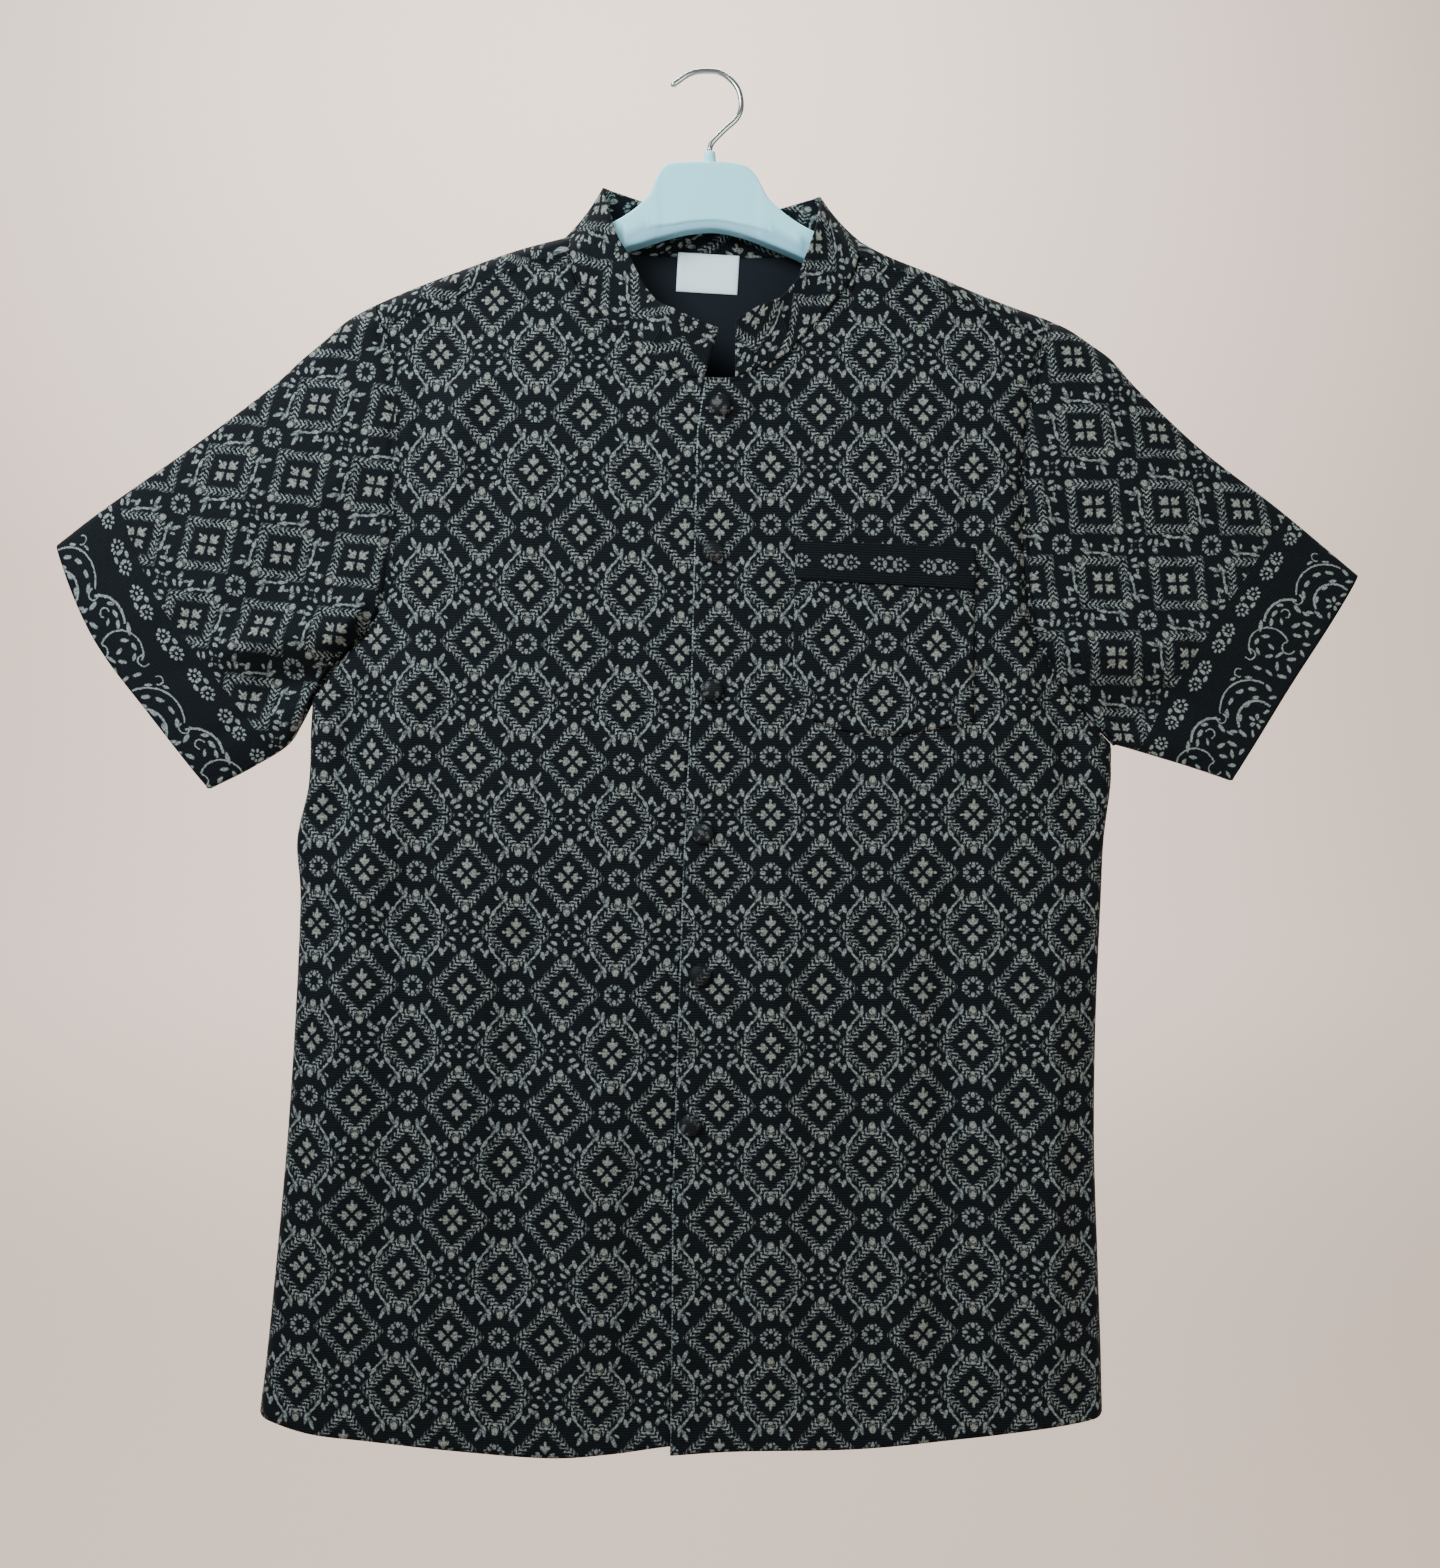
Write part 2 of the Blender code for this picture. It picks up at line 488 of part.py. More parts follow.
def sleeve(outline, arm, folds):
    """An open tube from the armhole to the cuff. Its columns run down the front, and up the back."""
    loop = np.vstack([arm.front, arm.back[::-1], arm.over[3:0:-1]])
    out = np.vstack([arm.out_front, arm.out_back[::-1], arm.out_over[3:0:-1]])
    shares = np.linspace(0, 1, ARM_ROWS + 1)
    down = SLEEVE_HIGH + (1 - SLEEVE_HIGH) * shares
    place = np.concatenate([down, down[::-1], [SLEEVE_HIGH / 2, 0.0, SLEEVE_HIGH / 2]])
    facing = np.concatenate([-np.ones(ARM_ROWS + 1), np.ones(ARM_ROWS + 1), [1, 0, -1]])
    spare = UNDERARM_SPARE * smooth_step((place - 0.75) / 0.25)[:, None]
    start = loop + (RIM + SEAM_GAP / 2 + spare) * out
    steps = np.linspace(0, 1, SLEEVE_STEPS + 1)
    top = along(outline["sleeve_top"], steps)
    under = along(outline["sleeve_under"], steps)
    cuff = along(outline["cuff"], place)
    rings = [loop + (SEAM_GAP / 2 + spare) * out]
    round_depth = np.sqrt(np.clip(1 - np.abs(2 * place - 1) ** SLEEVE_ROUND, 0, 1))
    least = np.where(np.abs(facing) > 0, UNDERARM_DEPTH, 0.0)
    for step, over, below in zip(steps, top, under):
        lean = (1 - place)[:, None] * (over - (1 - step) * top[0] - step * top[-1])
        lean = lean + place[:, None] * (below - (1 - step) * under[0] - step * under[-1])
        plan = (1 - step) * start[:, [0, 2]] + step * cuff + lean
        depth = SLEEVE_DEPTH + (CUFF_DEPTH - SLEEVE_DEPTH) * step
        settle = smooth_step(step / SLEEVE_SETTLE)
        y = (1 - settle) * loop[:, 1] + settle * facing * np.maximum(depth * round_depth, least)
        crease = folds_at(np.full_like(place, step), place, folds, SLEEVE_FOLD_COLUMNS)
        near, far, beside = CALM_SLEEVE
        calm = smooth_step(step * near) * smooth_step((1 - step) * far + FOLD_START)
        calm = calm * smooth_step((1 - np.abs(2 * place - 1)) * beside)
        y = y + facing * crease * calm * np.where(facing < 0, 1.0, BACK_FOLD_SHARE)
        rings.append(np.stack([plan[:, 0], y, plan[:, 1]], axis=1))
    return np.array(rings)


def collar_grid():
    """The standing band, from its seam up to its top edge, with a slight bow outwards."""
    table = np.array(COLLAR, float)
    seam_shares = arc_shares(table[:, :3])
    edge_shares = arc_shares(table[:, 3:])
    fine = np.linspace(0, len(COLLAR) - 1, 2 * len(COLLAR) - 1)
    seam = along(table[:, :3], np.interp(fine, np.arange(len(COLLAR)), seam_shares))
    edge = along(table[:, 3:], np.interp(fine, np.arange(len(COLLAR)), edge_shares))
    rise = unit(edge - seam)
    stand = np.where(seam[:, 1] < -19, COLLAR_STAND[0], COLLAR_STAND[1])[:, None]
    seam = seam + stand * rise
    outwards = unit(np.cross(np.gradient(seam, axis=0), rise))
    shares = np.linspace(0, 1, COLLAR_ROWS + 1)[:, None, None]
    bow = COLLAR_BOW * 4 * shares * (1 - shares)
    return seam[None] * (1 - shares) + edge[None] * shares + bow * outwards[None]


def depth_at(grid, x, z, reach=15.0):
    """Depth of a panel at places in the plane of the shirt: a plane fitted to its nearest points."""
    points = grid.reshape(-1, 3)
    points = points[~np.isnan(points[:, 0])]
    found = np.empty_like(x)
    for index in np.ndindex(x.shape):
        dx, dz = points[:, 0] - x[index], points[:, 2] - z[index]
        weight = np.exp(-(dx**2 + dz**2) / reach**2)
        terms = np.stack([np.ones_like(dx), dx, dz], axis=1)
        found[index] = np.linalg.solve(terms.T @ (terms * weight[:, None]), terms.T @ (weight * points[:, 1]))[0]
    return found


def pocket_grids(front):
    """The patch pocket and the band across its top, each from the front's own points, moved out."""
    shares = np.linspace(0, 1, POCKET_COLUMNS + 1)
    feet = np.interp(shares, np.linspace(0, 1, len(POCKET_FOOT)), POCKET_FOOT)
    tops = POCKET_TOP[0] + (POCKET_TOP[1] - POCKET_TOP[0]) * shares
    drops = POCKET_BAND_DROP[0] + (POCKET_BAND_DROP[1] - POCKET_BAND_DROP[0]) * shares
    downs = np.linspace(0, 1, POCKET_ROWS + 1)[:, None]
    z = tops + (feet - tops) * downs
    lefts = POCKET_SIDES["left"][0] + (POCKET_SIDES["left"][1] - POCKET_SIDES["left"][0]) * downs
    rights = POCKET_SIDES["right"][0] + (POCKET_SIDES["right"][1] - POCKET_SIDES["right"][0]) * downs
    x = lefts + (rights - lefts) * shares
    stand = WALL / 2 + POCKET_WALL / 2 + 2 * SEAM_GAP
    pocket = np.stack([x, depth_at(front, x, z) - stand, z], axis=2)
    band_z = tops - drops * np.linspace(0, 1, BAND_ROWS + 1)[:, None]
    band_x = np.repeat(x[:1], BAND_ROWS + 1, axis=0)
    band_y = depth_at(pocket, band_x, band_z) - POCKET_WALL / 2 - BAND_WALL / 2 - 2 * SEAM_GAP
    return pocket, np.stack([band_x, band_y, band_z], axis=2)


def add_button(name, place, front, material):
    """A covered dome on a flat foot, turned from its profile."""
    radius = BUTTON_DIAMETER / 2
    near = place[0] + radius * np.array([[0, 1, -1, 0, 0]])
    high = place[1] + radius * np.array([[0, 0, 0, 1, -1]])
    foot = depth_at(front, near, high).min() - WALL / 2 - 2 * SEAM_GAP
    angles = np.linspace(math.pi / 2, 0, 6)
    dome = BUTTON_HEIGHT - BUTTON_FOOT
    profile = [(0.0, BUTTON_HEIGHT)]
    profile += [(radius * math.cos(a), BUTTON_FOOT + dome * math.sin(a)) for a in angles[1:]]
    profile += [(radius, BUTTON_FOOT / 2), (radius - BUTTON_FOOT / 2, 0.0), (0.0, 0.0)]
    built = bmesh.new()
    ring = [built.verts.new((r * MM, 0, h * MM)) for r, h in profile]
    for first, second in zip(ring, ring[1:]):
        built.edges.new((first, second))
    mesh = bpy.data.meshes.new(name)
    built.to_mesh(mesh)
    built.free()
    shown = add_object(name, mesh, material)
    screw = shown.modifiers.new("turned", "SCREW")
    screw.steps = screw.render_steps = BUTTON_STEPS
    screw.use_merge_vertices = True
    screw.merge_threshold = 0.00005
    shown.rotation_euler = (math.pi / 2, 0, 0)
    shown.location = (place[0] * MM, foot * MM, place[1] * MM)


def add_hanger(material):
    """The moulded hanger, lofted through rounded sections along its length."""
    angles = np.linspace(0, 2 * math.pi, HANGER_SIDES, endpoint=False)
    rings = []
    for row in HANGER:
        station = dict(zip(HANGER_COLUMNS, row))
        half = (station["top"] - station["foot"]) / 2
        middle = (station["top"] + station["foot"]) / 2
        y = np.sign(np.cos(angles)) * np.abs(np.cos(angles)) ** HANGER_ROUND * station["thick"] / 2
        z = middle + np.sign(np.sin(angles)) * np.abs(np.sin(angles)) ** HANGER_ROUND * half
        rings.append(np.stack([np.full_like(y, station["x"]), y, z], axis=1))
    points = np.array(rings)
    rows, columns, _ = points.shape
    faces = []
    for row in range(rows - 1):
        for column in range(columns):
            after = (column + 1) % columns
            faces.append([row * columns + column, row * columns + after, (row + 1) * columns + after,
                          (row + 1) * columns + column])
    faces.append(list(range(columns))[::-1])
    faces.append([(rows - 1) * columns + column for column in range(columns)])
    mesh = bpy.data.meshes.new("hanger")
    mesh.from_pydata((points.reshape(-1, 3) * MM).tolist(), [], faces)
    turn_outwards(mesh)
    mesh.shade_smooth()
    add_object("hanger", mesh, material)


def turn_outwards(mesh):
    built = bmesh.new()
    built.from_mesh(mesh)
    bmesh.ops.recalc_face_normals(built, faces=built.faces)
    built.to_mesh(mesh)
    built.free()


def add_hook(wire_material, socket_material):
    route = along(with_y(HOOK, 0.0), np.linspace(0, 1, HOOK_STEPS))
    curve = bpy.data.curves.new("hanger_hook", "CURVE")
    curve.dimensions = "3D"
    curve.bevel_depth = WIRE / 2 * MM
    curve.bevel_resolution = 2
    curve.use_fill_caps = True
    spline = curve.splines.new("POLY")
    spline.points.add(len(route) - 1)
    for point, place in zip(spline.points, route):
        point.co = (*(place * MM), 1.0)
    add_object("hanger_hook", curve, wire_material)
    height = SOCKET["top"] - SOCKET["foot"]
    built = bmesh.new()
    bmesh.ops.create_cone(built, cap_ends=True, segments=20, radius1=SOCKET["radius"] * MM,
                          radius2=(SOCKET["radius"] - 0.8) * MM, depth=height * MM)
    mesh = bpy.data.meshes.new("hook_socket")
    built.to_mesh(mesh)
    built.free()
    shown = add_object("hook_socket", mesh, socket_material)
    middle = (SOCKET["top"] + SOCKET["foot"]) / 2
    shown.location = (SOCKET["centre"][0] * MM, SOCKET["centre"][1] * MM, middle * MM)


def add_label(lining, material):
    """A flat tag in front of the lining, turned a little as it is sewn."""
    turn = math.radians(LABEL_TURN)
    width, height = LABEL_SIZE
    u, v = np.meshgrid(np.linspace(-width / 2, width / 2, 7), np.linspace(height / 2, -height / 2, 5))
    x = LABEL_CENTRE[0] + u * math.cos(turn) - v * math.sin(turn)
    z = LABEL_CENTRE[1] + u * math.sin(turn) + v * math.cos(turn)
    y = depth_at(lining, x, z, reach=22.0) - LINING_WALL / 2 - LABEL_WALL / 2 - 2 * SEAM_GAP
    shell("label", np.stack([x, y, z], axis=2), LABEL_WALL, material)


def lining_grid(back):
    """The lining of the back, from the back's own points moved inwards, below the neck seam."""
    first = FRONT_COLUMNS - NECK_COLUMNS + 2
    body = back[5:, first + 1 : -first - 1]
    rows = [row for row in range(len(body)) if body[row, :, 2].mean() > body[0, :, 2].mean() - LINING_DROP]
    lining = body[rows].copy()
    lining[0, :, 2] -= 1.0
    lining[..., 1] -= WALL / 2 + LINING_WALL / 2 + 2 * SEAM_GAP
    return lining


def build():
    for held in list(bpy.data.objects):
        bpy.data.objects.remove(held, do_unlink=True)
    bpy.context.scene.collection.children.link(PARTS)
    print_cloth = make_material("printed_viscose", (0.020, 0.025, 0.032), 0.72)
    band_cloth = make_material("plain_border", (0.012, 0.015, 0.020), 0.75)
    lining_cloth = make_material("black_lining", (0.008, 0.008, 0.011), 0.6)
    label_cloth = make_material("white_satin", (0.75, 0.80, 0.80), 0.5)
    plastic = make_material("white_plastic", (0.66, 0.80, 0.82), 0.35)
    wire = make_material("plated_wire", (0.62, 0.66, 0.66), 0.25, 1.0)

    arms = (Armhole(RIGHT, (-1, 0, 0)), Armhole(LEFT, (1, 0, 0)))
    right = front_panel(RIGHT, NECK_RIGHT, arms[0], right_edge, -CLOSING_LIFT)
    left = front_panel(LEFT, NECK_LEFT, arms[1], left_edge, CLOSING_LIFT)
    back = back_panel(arms)
    shell("front_right", right, WALL, print_cloth)
    shell("front_left", left, WALL, print_cloth)
    shell("back", back, WALL, print_cloth)
    shell("sleeve_right", sleeve(RIGHT, arms[0], RIGHT_SLEEVE_FOLDS), WALL, print_cloth, closed=True)
    shell("sleeve_left", sleeve(LEFT, arms[1], LEFT_SLEEVE_FOLDS), WALL, print_cloth, closed=True)
    shell("collar", collar_grid(), COLLAR_WALL, print_cloth)
    pocket, band = pocket_grids(left)
    shell("pocket", pocket, POCKET_WALL, print_cloth)
    shell("pocket_band", band, BAND_WALL, band_cloth)
    for number, place in enumerate(BUTTONS, start=1):
        add_button(f"button_{number}", place, left, print_cloth)
    lining = lining_grid(back)
    shell("back_lining", lining, LINING_WALL, lining_cloth)
    add_label(lining, label_cloth)
    add_hanger(plastic)
    add_hook(wire, plastic)


PARTS = bpy.data.collections.new("mandarin_collar_shirt")
build()
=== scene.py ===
"""Looks of the mandarin collar shirt on its hanger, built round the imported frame.

Sizes are in millimetres until each mesh is made. Every cloth piece is a grid of points: its outline is the
same as the CAD piece's, with finer steps, and its depth is the CAD depth plus a table of creases. A chart
gives each point its place in the flat cut, in metres, and the print is drawn on that chart.
"""

import math

import bpy
import numpy as np
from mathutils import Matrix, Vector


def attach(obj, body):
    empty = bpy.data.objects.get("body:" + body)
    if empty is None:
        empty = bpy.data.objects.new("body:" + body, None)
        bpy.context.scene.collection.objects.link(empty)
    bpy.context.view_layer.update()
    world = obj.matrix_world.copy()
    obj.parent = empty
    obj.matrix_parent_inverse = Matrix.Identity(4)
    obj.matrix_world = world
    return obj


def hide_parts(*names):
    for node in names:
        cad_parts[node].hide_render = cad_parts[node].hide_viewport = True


MM = 0.001
# Cloth: the gap at its seams and at the side seam, the turned rim, walls, and the hem's turning
GAP = 0.3
SIDE_GAP = 0.04
RIM = 1.3
CLOTH_WALL = 0.8
COLLAR_WALL = 1.8
LABEL_WALL = 0.3
HEM_TURN = 14.0
HEM_STEP = 0.5
SEAM_DRAW = 2.4
SEAM_REACH = 3.6
# Depth of the laid-flat shirt, forward or back of the plane of its side seams
RIDGE_DEPTH = 9.0
ARMHOLE_SWELL = 5.0
UNDERARM_DEPTH = 2.6
UNDERARM_SPARE = 1.8
FRONT_DEPTH = 23.0
BACK_DEPTH = 17.0
CUFF_DEPTH = 7.0
SLEEVE_DEPTH = 15.0
# Closing: how far a front stands off the other's plane, over what width it eases back, and the part below
CLOSING_LIFT = 1.5
CLOSING_EASE = 70.0
UNDERLAP = 30.0
NECK_EASE = 30.0
# Direction up out of the shoulder seam, and how fast a crease grows from a top edge and from a side
SHOULDER_UP = (0, 0.5, 0.87)
FRONT_GROWTH = (12, 9)
FINE_FRONT_GROWTH = (25, 25)
BACK_GROWTH = (12, 7)
FINE_BACK_GROWTH = (20, 7)
SLEEVE_GROWTH = (8, 8)

# Weave: spacing and shade of the ribs, the yarns' unevenness, and the relief of both
RIB_PITCH = 1.6
RIB_SHADE = 0.55
RIB_RISE = 0.6
YARN_SCALE = 0.9
YARN_STRETCH = (0.35, 1.6, 1.0)
BUMP_STRENGTH = 0.35
BUMP_DISTANCE = 0.0002
# Ink: noise values and the share of ink between which it is worn, in yarns, in spots and in broad clouds
YARN_FADE = (0.3, 0.62, 0.6, 1.0)
WEAR_SCALE = 0.9
WEAR_FADE = (0.38, 0.54, 0.4, 1.0)
CLOUD_SCALE = 0.06
BLOOM_TINT = 0.8
STROKE_SOFT = 0.24
WANDER = 1.3
WANDER_SCALE = 0.55
# Flecks of the ring, and how much of each part of the print they break
FLECK_LONG = 3.0
FLECK_WIDE = 1.4
FLECK_TURN = -48.0
FLECK_DETAIL = 0.6
FLECK_FADE = (0.40, 0.50)
FLECKED = {"bloom": 0.4, "ring": 0.65, "field": 0.65}
# Small leaves of the ring: their spacing, their slant, the spine they start from, and how far they stray
LEAF_PITCH = 3.1
LEAF_SLANT = 0.9
LEAF_SPINE = 14.6
LEAF_STRAY = 8.0
LEAF_FADE = (-0.15, 0.55)
# Stitched pale line along the closing, with a painted highlight: its width, the length of a stitch, and
# where the painted highlight shows
EDGE_LINE = 0.8
EDGE_STITCH = 2.6
EDGE_HIGHLIGHT_FADE = (0.42, 0.56, 0.15, 1.0)
# Share of the ink that is left in the print of each fainter kind of piece
FAINT = {"button": 0.35, "band": 0.75}
# A dull cloth with hardly any sheen. The buttons' cloth is drawn tight, so it shines a little more.
CLOTH_SHADER = {"Roughness": 0.8, "Specular IOR Level": 0.08, "Sheen Weight": 0.02, "Sheen Roughness": 0.35}
BUTTON_SHADER = {**CLOTH_SHADER, "Roughness": 0.6, "Specular IOR Level": 0.16}

# Colours
GROUND_DARK = "#05070A"
GROUND_LIGHT = "#28333A"
INK_COOL = "#89979A"
INK_WARM = "#8E958E"
INK_BLOOM = "#93978D"
# Pale stitching thread, brightened as a painted highlight
EDGE_THREAD_HIGHLIGHT = "#7C8786"
LINING_BLACK = "#161C22"
LABEL_WHITE = "#E2FAFF"
PLASTIC = "#A4F4FF"
# Plastic of the hanger's recessed lower band, made darker as painted shade
PLASTIC_SHADED = "#8CC6DA"
STEEL = "#B9C4C6"
WALL_PAINT = "#F8E6DD"
# Floor paint, darker than the wall's as painted shade
FLOOR_SHADED_PAINT = "#D3C6BB"
ROOM_LIGHT = "#E9E6E2"
ROOM_POWER = 0.3
# Heights in metres between which the floor's painted shade turns into the wall's paint
SHADE_HEIGHTS = (-1.8, -0.9)
# Lamps: name, place, what it is aimed at, size, power and colour
LIGHTS = [
    ("key", (-0.7, -0.82, 0.2), (0, 0, -0.25), (0.6, 0.6), 22.5, "#F1F8FF"),
    ("fill", (0.7, -0.9, -0.25), (0, 0, -0.3), (0.7, 0.7), 6.5, "#FBF8F2"),
    ("backdrop", (-0.5, 0.6, 2.6), (-0.3, 3.6, -0.2), (3.0, 1.0), 295, "#FFFAF4"),
]
# Floor in metres: its height, the radius and place of its sweep, the wall's top and the half width
FLOOR = {"height": -1.75, "sweep": 2.0, "from": 1.6, "top": 6.0, "half_width": 6}
# Camera: its place, its sensor, and the height of what it sees in the plane of the shirt
CAMERA = (0.0078, -0.88, -0.46085)
SENSOR = 36.0
VIEW_HEIGHT = 1.0192

# Counts of grid steps
PANEL_ROWS = 250
ARM_ROWS = 96
FRONT_COLUMNS = 96
NECK_COLUMNS = 50
BACK_COLUMNS = 184
SLEEVE_STEPS = 92
OVER_STEPS = 12
POCKET_STEPS = 56
BAND_STEPS = 16
BUTTON_SIDES = 48
HANGER_SIDES = 96
HOOK_STEPS = 120

# Outlines in the plane of the shirt, as (x, z) down or along each edge
RIGHT = {
    "ridge": [(-92, -106), (-121.5, -113.8), (-158.6, -126.8), (-192.4, -139.8), (-216, -150)],
    "shoulder": [(-88.5, -117.5), (-133.6, -133), (-176, -153.7), (-210, -166)],
    "armhole": [
        (-210, -166), (-202, -195), (-199.6, -227), (-201.5, -293), (-210, -348), (-237, -378),
        (-257.4, -404),
    ],
    "side": [
        (-257.4, -404), (-258.7, -458), (-266.5, -497), (-264.5, -536), (-267.8, -614), (-273, -692),
        (-280, -770), (-286, -829), (-290.5, -868),
    ],
    "hem": [
        (-290.5, -868), (-254.5, -876), (-214.5, -879), (-156.6, -884), (-99.7, -887.6), (-61.8, -885),
        (-25.2, -880.4), (4, -879),
    ],
    "sleeve_top": [
        (-216, -150), (-232.7, -159.5), (-247, -172), (-262.6, -185), (-284.7, -204.7), (-337, -243.7),
        (-392.6, -282.7), (-423, -306),
    ],
    "sleeve_under": [(-259.5, -403), (-270, -432), (-295, -449), (-324.3, -463.5)],
    "cuff": [(-423, -306), (-405, -350), (-388, -380), (-358, -419), (-324.3, -463.5)],
}
LEFT = {
    "ridge": [(97.5, -108), (119, -120.2), (151.5, -133.2), (183.3, -146.2), (220, -159.5)],
    "shoulder": [(96.3, -120.5), (140, -137), (181, -158), (219, -175)],
    "armhole": [
        (219, -175), (209, -205), (205, -233), (202.4, -274), (205.5, -335), (213.6, -371), (239, -410),
        (262.6, -437),
    ],
    "side": [
        (262.6, -437), (261, -462), (256.7, -497), (254.8, -536), (251.5, -614), (250.5, -692),
        (252.8, -770), (254.8, -829), (255.5, -868),
    ],
    "hem": [
        (255.5, -868), (244.5, -869.5), (204.7, -873), (146.9, -878), (90, -882.2), (14.1, -883),
        (-23.8, -885),
    ],
    "sleeve_top": [
        (220, -159.5), (233.3, -165.7), (247, -175), (260.6, -185.2), (278, -204.7), (319.8, -243.7),
        (370.5, -282.7), (422, -325.6),
    ],
    "sleeve_under": [(262.6, -437), (275, -440), (312, -449.8), (340, -458.2)],
    "cuff": [(422, -325.6), (399.7, -360.7), (374.4, -399.7), (351, -438.7), (340, -458.2)],
}
NECK_RIGHT = [
    (6.5, -21.8, -204), (-20.7, -21.8, -201), (-33.4, -21, -194.4), (-43, -20, -185), (-52.6, -19, -174.7),
    (-61, -18, -166.7), (-68.8, -16.5, -157), (-75.4, -15, -146), (-82, -13, -133.5), (-88.5, -9, -117.5),
]
NECK_LEFT = [
    (-1.5, -24.6, -204), (16.7, -24.4, -203.8), (35.1, -22.4, -196), (49.7, -20.5, -187.7),
    (58.7, -19.5, -177.8), (71.5, -18, -163), (78.6, -16.5, -153), (85.8, -14.8, -143.6), (92, -12.6, -134),
    (96.3, -9, -120.5),
]
NECK_BACK = [
    (-88.5, -9, -117.5), (-92, 0, -106), (-85, 8.5, -104), (-70, 13.5, -107), (-46.5, 16, -110.5),
    (7.8, 17, -112), (56, 16, -112), (77, 13.5, -110), (91, 8.5, -107), (97.5, 0, -108), (96.3, -9, -120.5),
]
FRONT_EDGE = [
    (-1.5, -204), (-6.7, -237), (-11.2, -420.4), (-15.6, -515.2), (-22.5, -724), (-22.5, -776),
    (-23.8, -885),
]
BACK_HEM = [(-290.5, -868), (-200, -877), (-100, -880), (0, -880), (100, -877), (190, -872), (255.5, -868)]

# Creases of the panels: x and z at both ends of a line, its width, and its height, below 0 for a valley
FRONT_CREASES = [
    (-184, -190, -190, -330, 9, -4.5), (-150, -200, -172, -290, 16, 4.5),
    (-220, -390, -248, -500, 15, -8.0), (-180, -370, -228, -560, 18, 6.0),
    (-232, -560, -242, -760, 20, 6.0), (-190, -500, -205, -800, 16, -4.0),
    (-118, -530, -128, -800, 18, -6.5), (-70, -630, -78, -840, 20, 5.0), (-40, -690, -46, -870, 9, -4.0),
    (70, -200, 14, -237, 7, -3.0), (224, -375, 244, -490, 13, -7.5), (196, -225, 206, -400, 12, 5.0),
    (154, -500, 154, -860, 17, -6.5), (219, -540, 220, -850, 18, 5.5), (42, -470, 40, -850, 20, 4.5),
    (100, -640, 100, -860, 16, -3.0),
]
BACK_CREASES = [
    (-150, -230, -190, -420, 18, 4.0), (-200, -420, -225, -640, 20, -4.0),
    (-110, -300, -125, -820, 24, 4.5), (-20, -260, -30, -840, 26, -4.0), (70, -320, 62, -830, 24, 4.5),
    (150, -240, 185, -430, 18, 4.0), (165, -520, 160, -850, 20, -4.0), (215, -480, 222, -820, 20, 3.5),
]
FINE_FRONT_CREASES = [
    (-196, -240, -150, -300, 7, -1.6), (-200, -300, -140, -380, 8, 1.8), (-205, -352, -130, -420, 7, -1.7),
    (-240, -385, -170, -470, 8, 2.0), (-252, -410, -214, -470, 6, -2.0), (-255, -440, -240, -540, 6, 1.6),
    (-250, -560, -180, -640, 9, -1.2), (-160, -600, -172, -740, 8, 1.3), (-100, -560, -112, -700, 8, 1.4),
    (-98, -720, -106, -868, 7, -1.4), (-225, -760, -232, -868, 8, -1.5), (-180, -790, -184, -872, 7, 1.4),
    (-60, -250, -90, -330, 9, 1.2), (-40, -300, -60, -420, 8, -1.0), (-30, -450, -42, -600, 7, 1.2),
    (-100, -180, -150, -230, 8, -1.3), (-110, -240, -128, -360, 10, 1.2), (-24, -225, -70, -275, 6, -1.1),
    (205, -235, 160, -300, 8, -1.5), (206, -330, 150, -400, 8, 1.5), (225, -395, 178, -480, 7, -1.8),
    (250, -425, 222, -520, 7, 1.8), (238, -450, 236, -560, 6, -1.4), (120, -190, 160, -230, 8, 1.2),
    (60, -235, 95, -300, 9, -1.2), (20, -260, 40, -360, 8, 1.2), (10, -420, 30, -520, 7, -1.2),
    (80, -450, 88, -560, 9, 1.3), (128, -450, 140, -560, 8, -1.4), (180, -600, 186, -760, 8, 1.4),
    (235, -640, 236, -780, 7, -1.4), (70, -700, 66, -868, 7, -1.3), (12, -560, 8, -720, 7, 1.2),
    (22, -740, 16, -870, 7, -1.4), (125, -760, 128, -868, 7, 1.5), (190, -800, 192, -866, 7, -1.5),
]
FINE_BACK_CREASES = [
    (-185, -190, -120, -260, 9, 1.8), (-190, -250, -110, -350, 9, -1.7), (-205, -340, -120, -440, 9, 1.8),
    (-245, -400, -180, -520, 8, -2.0), (-60, -240, -75, -420, 11, -1.8), (30, -250, 24, -460, 11, 1.7),
    (190, -200, 120, -270, 9, 1.8), (200, -270, 110, -360, 9, -1.7), (208, -350, 130, -450, 9, 1.8),
    (245, -430, 180, -540, 8, -2.0), (-160, -560, -172, -800, 10, 1.8), (-70, -520, -80, -860, 10, -1.8),
    (20, -540, 14, -860, 10, 1.8), (112, -540, 108, -860, 10, -1.8), (190, -620, 196, -850, 9, 1.8),
]
# Creases of the sleeves in the same columns, but in shares: along is 0 at the armhole and 1 at the cuff,
# and across is 0 on top and 1 below
RIGHT_SLEEVE_CREASES = [
    (0.05, 0.74, 0.75, 0.56, 0.055, 9.0), (0.12, 0.88, 0.64, 0.70, 0.07, -8.5),
    (0.05, 0.45, 0.55, 0.50, 0.09, -3.0), (0.03, 0.96, 0.12, 0.80, 0.05, 4.0),
    (0.10, 0.15, 0.60, 0.25, 0.10, 2.5), (0.02, 0.30, 0.30, 0.36, 0.035, 1.5),
    (0.04, 0.62, 0.40, 0.58, 0.035, -1.6), (0.08, 0.74, 0.50, 0.70, 0.030, 1.6),
    (0.50, 0.40, 0.90, 0.36, 0.045, 1.2), (0.45, 0.78, 0.85, 0.86, 0.04, -1.5),
    (0.60, 0.55, 0.95, 0.60, 0.05, -1.2), (0.03, 0.10, 0.25, 0.06, 0.03, -1.2),
    (0.55, 0.16, 0.92, 0.20, 0.05, -1.0),
]
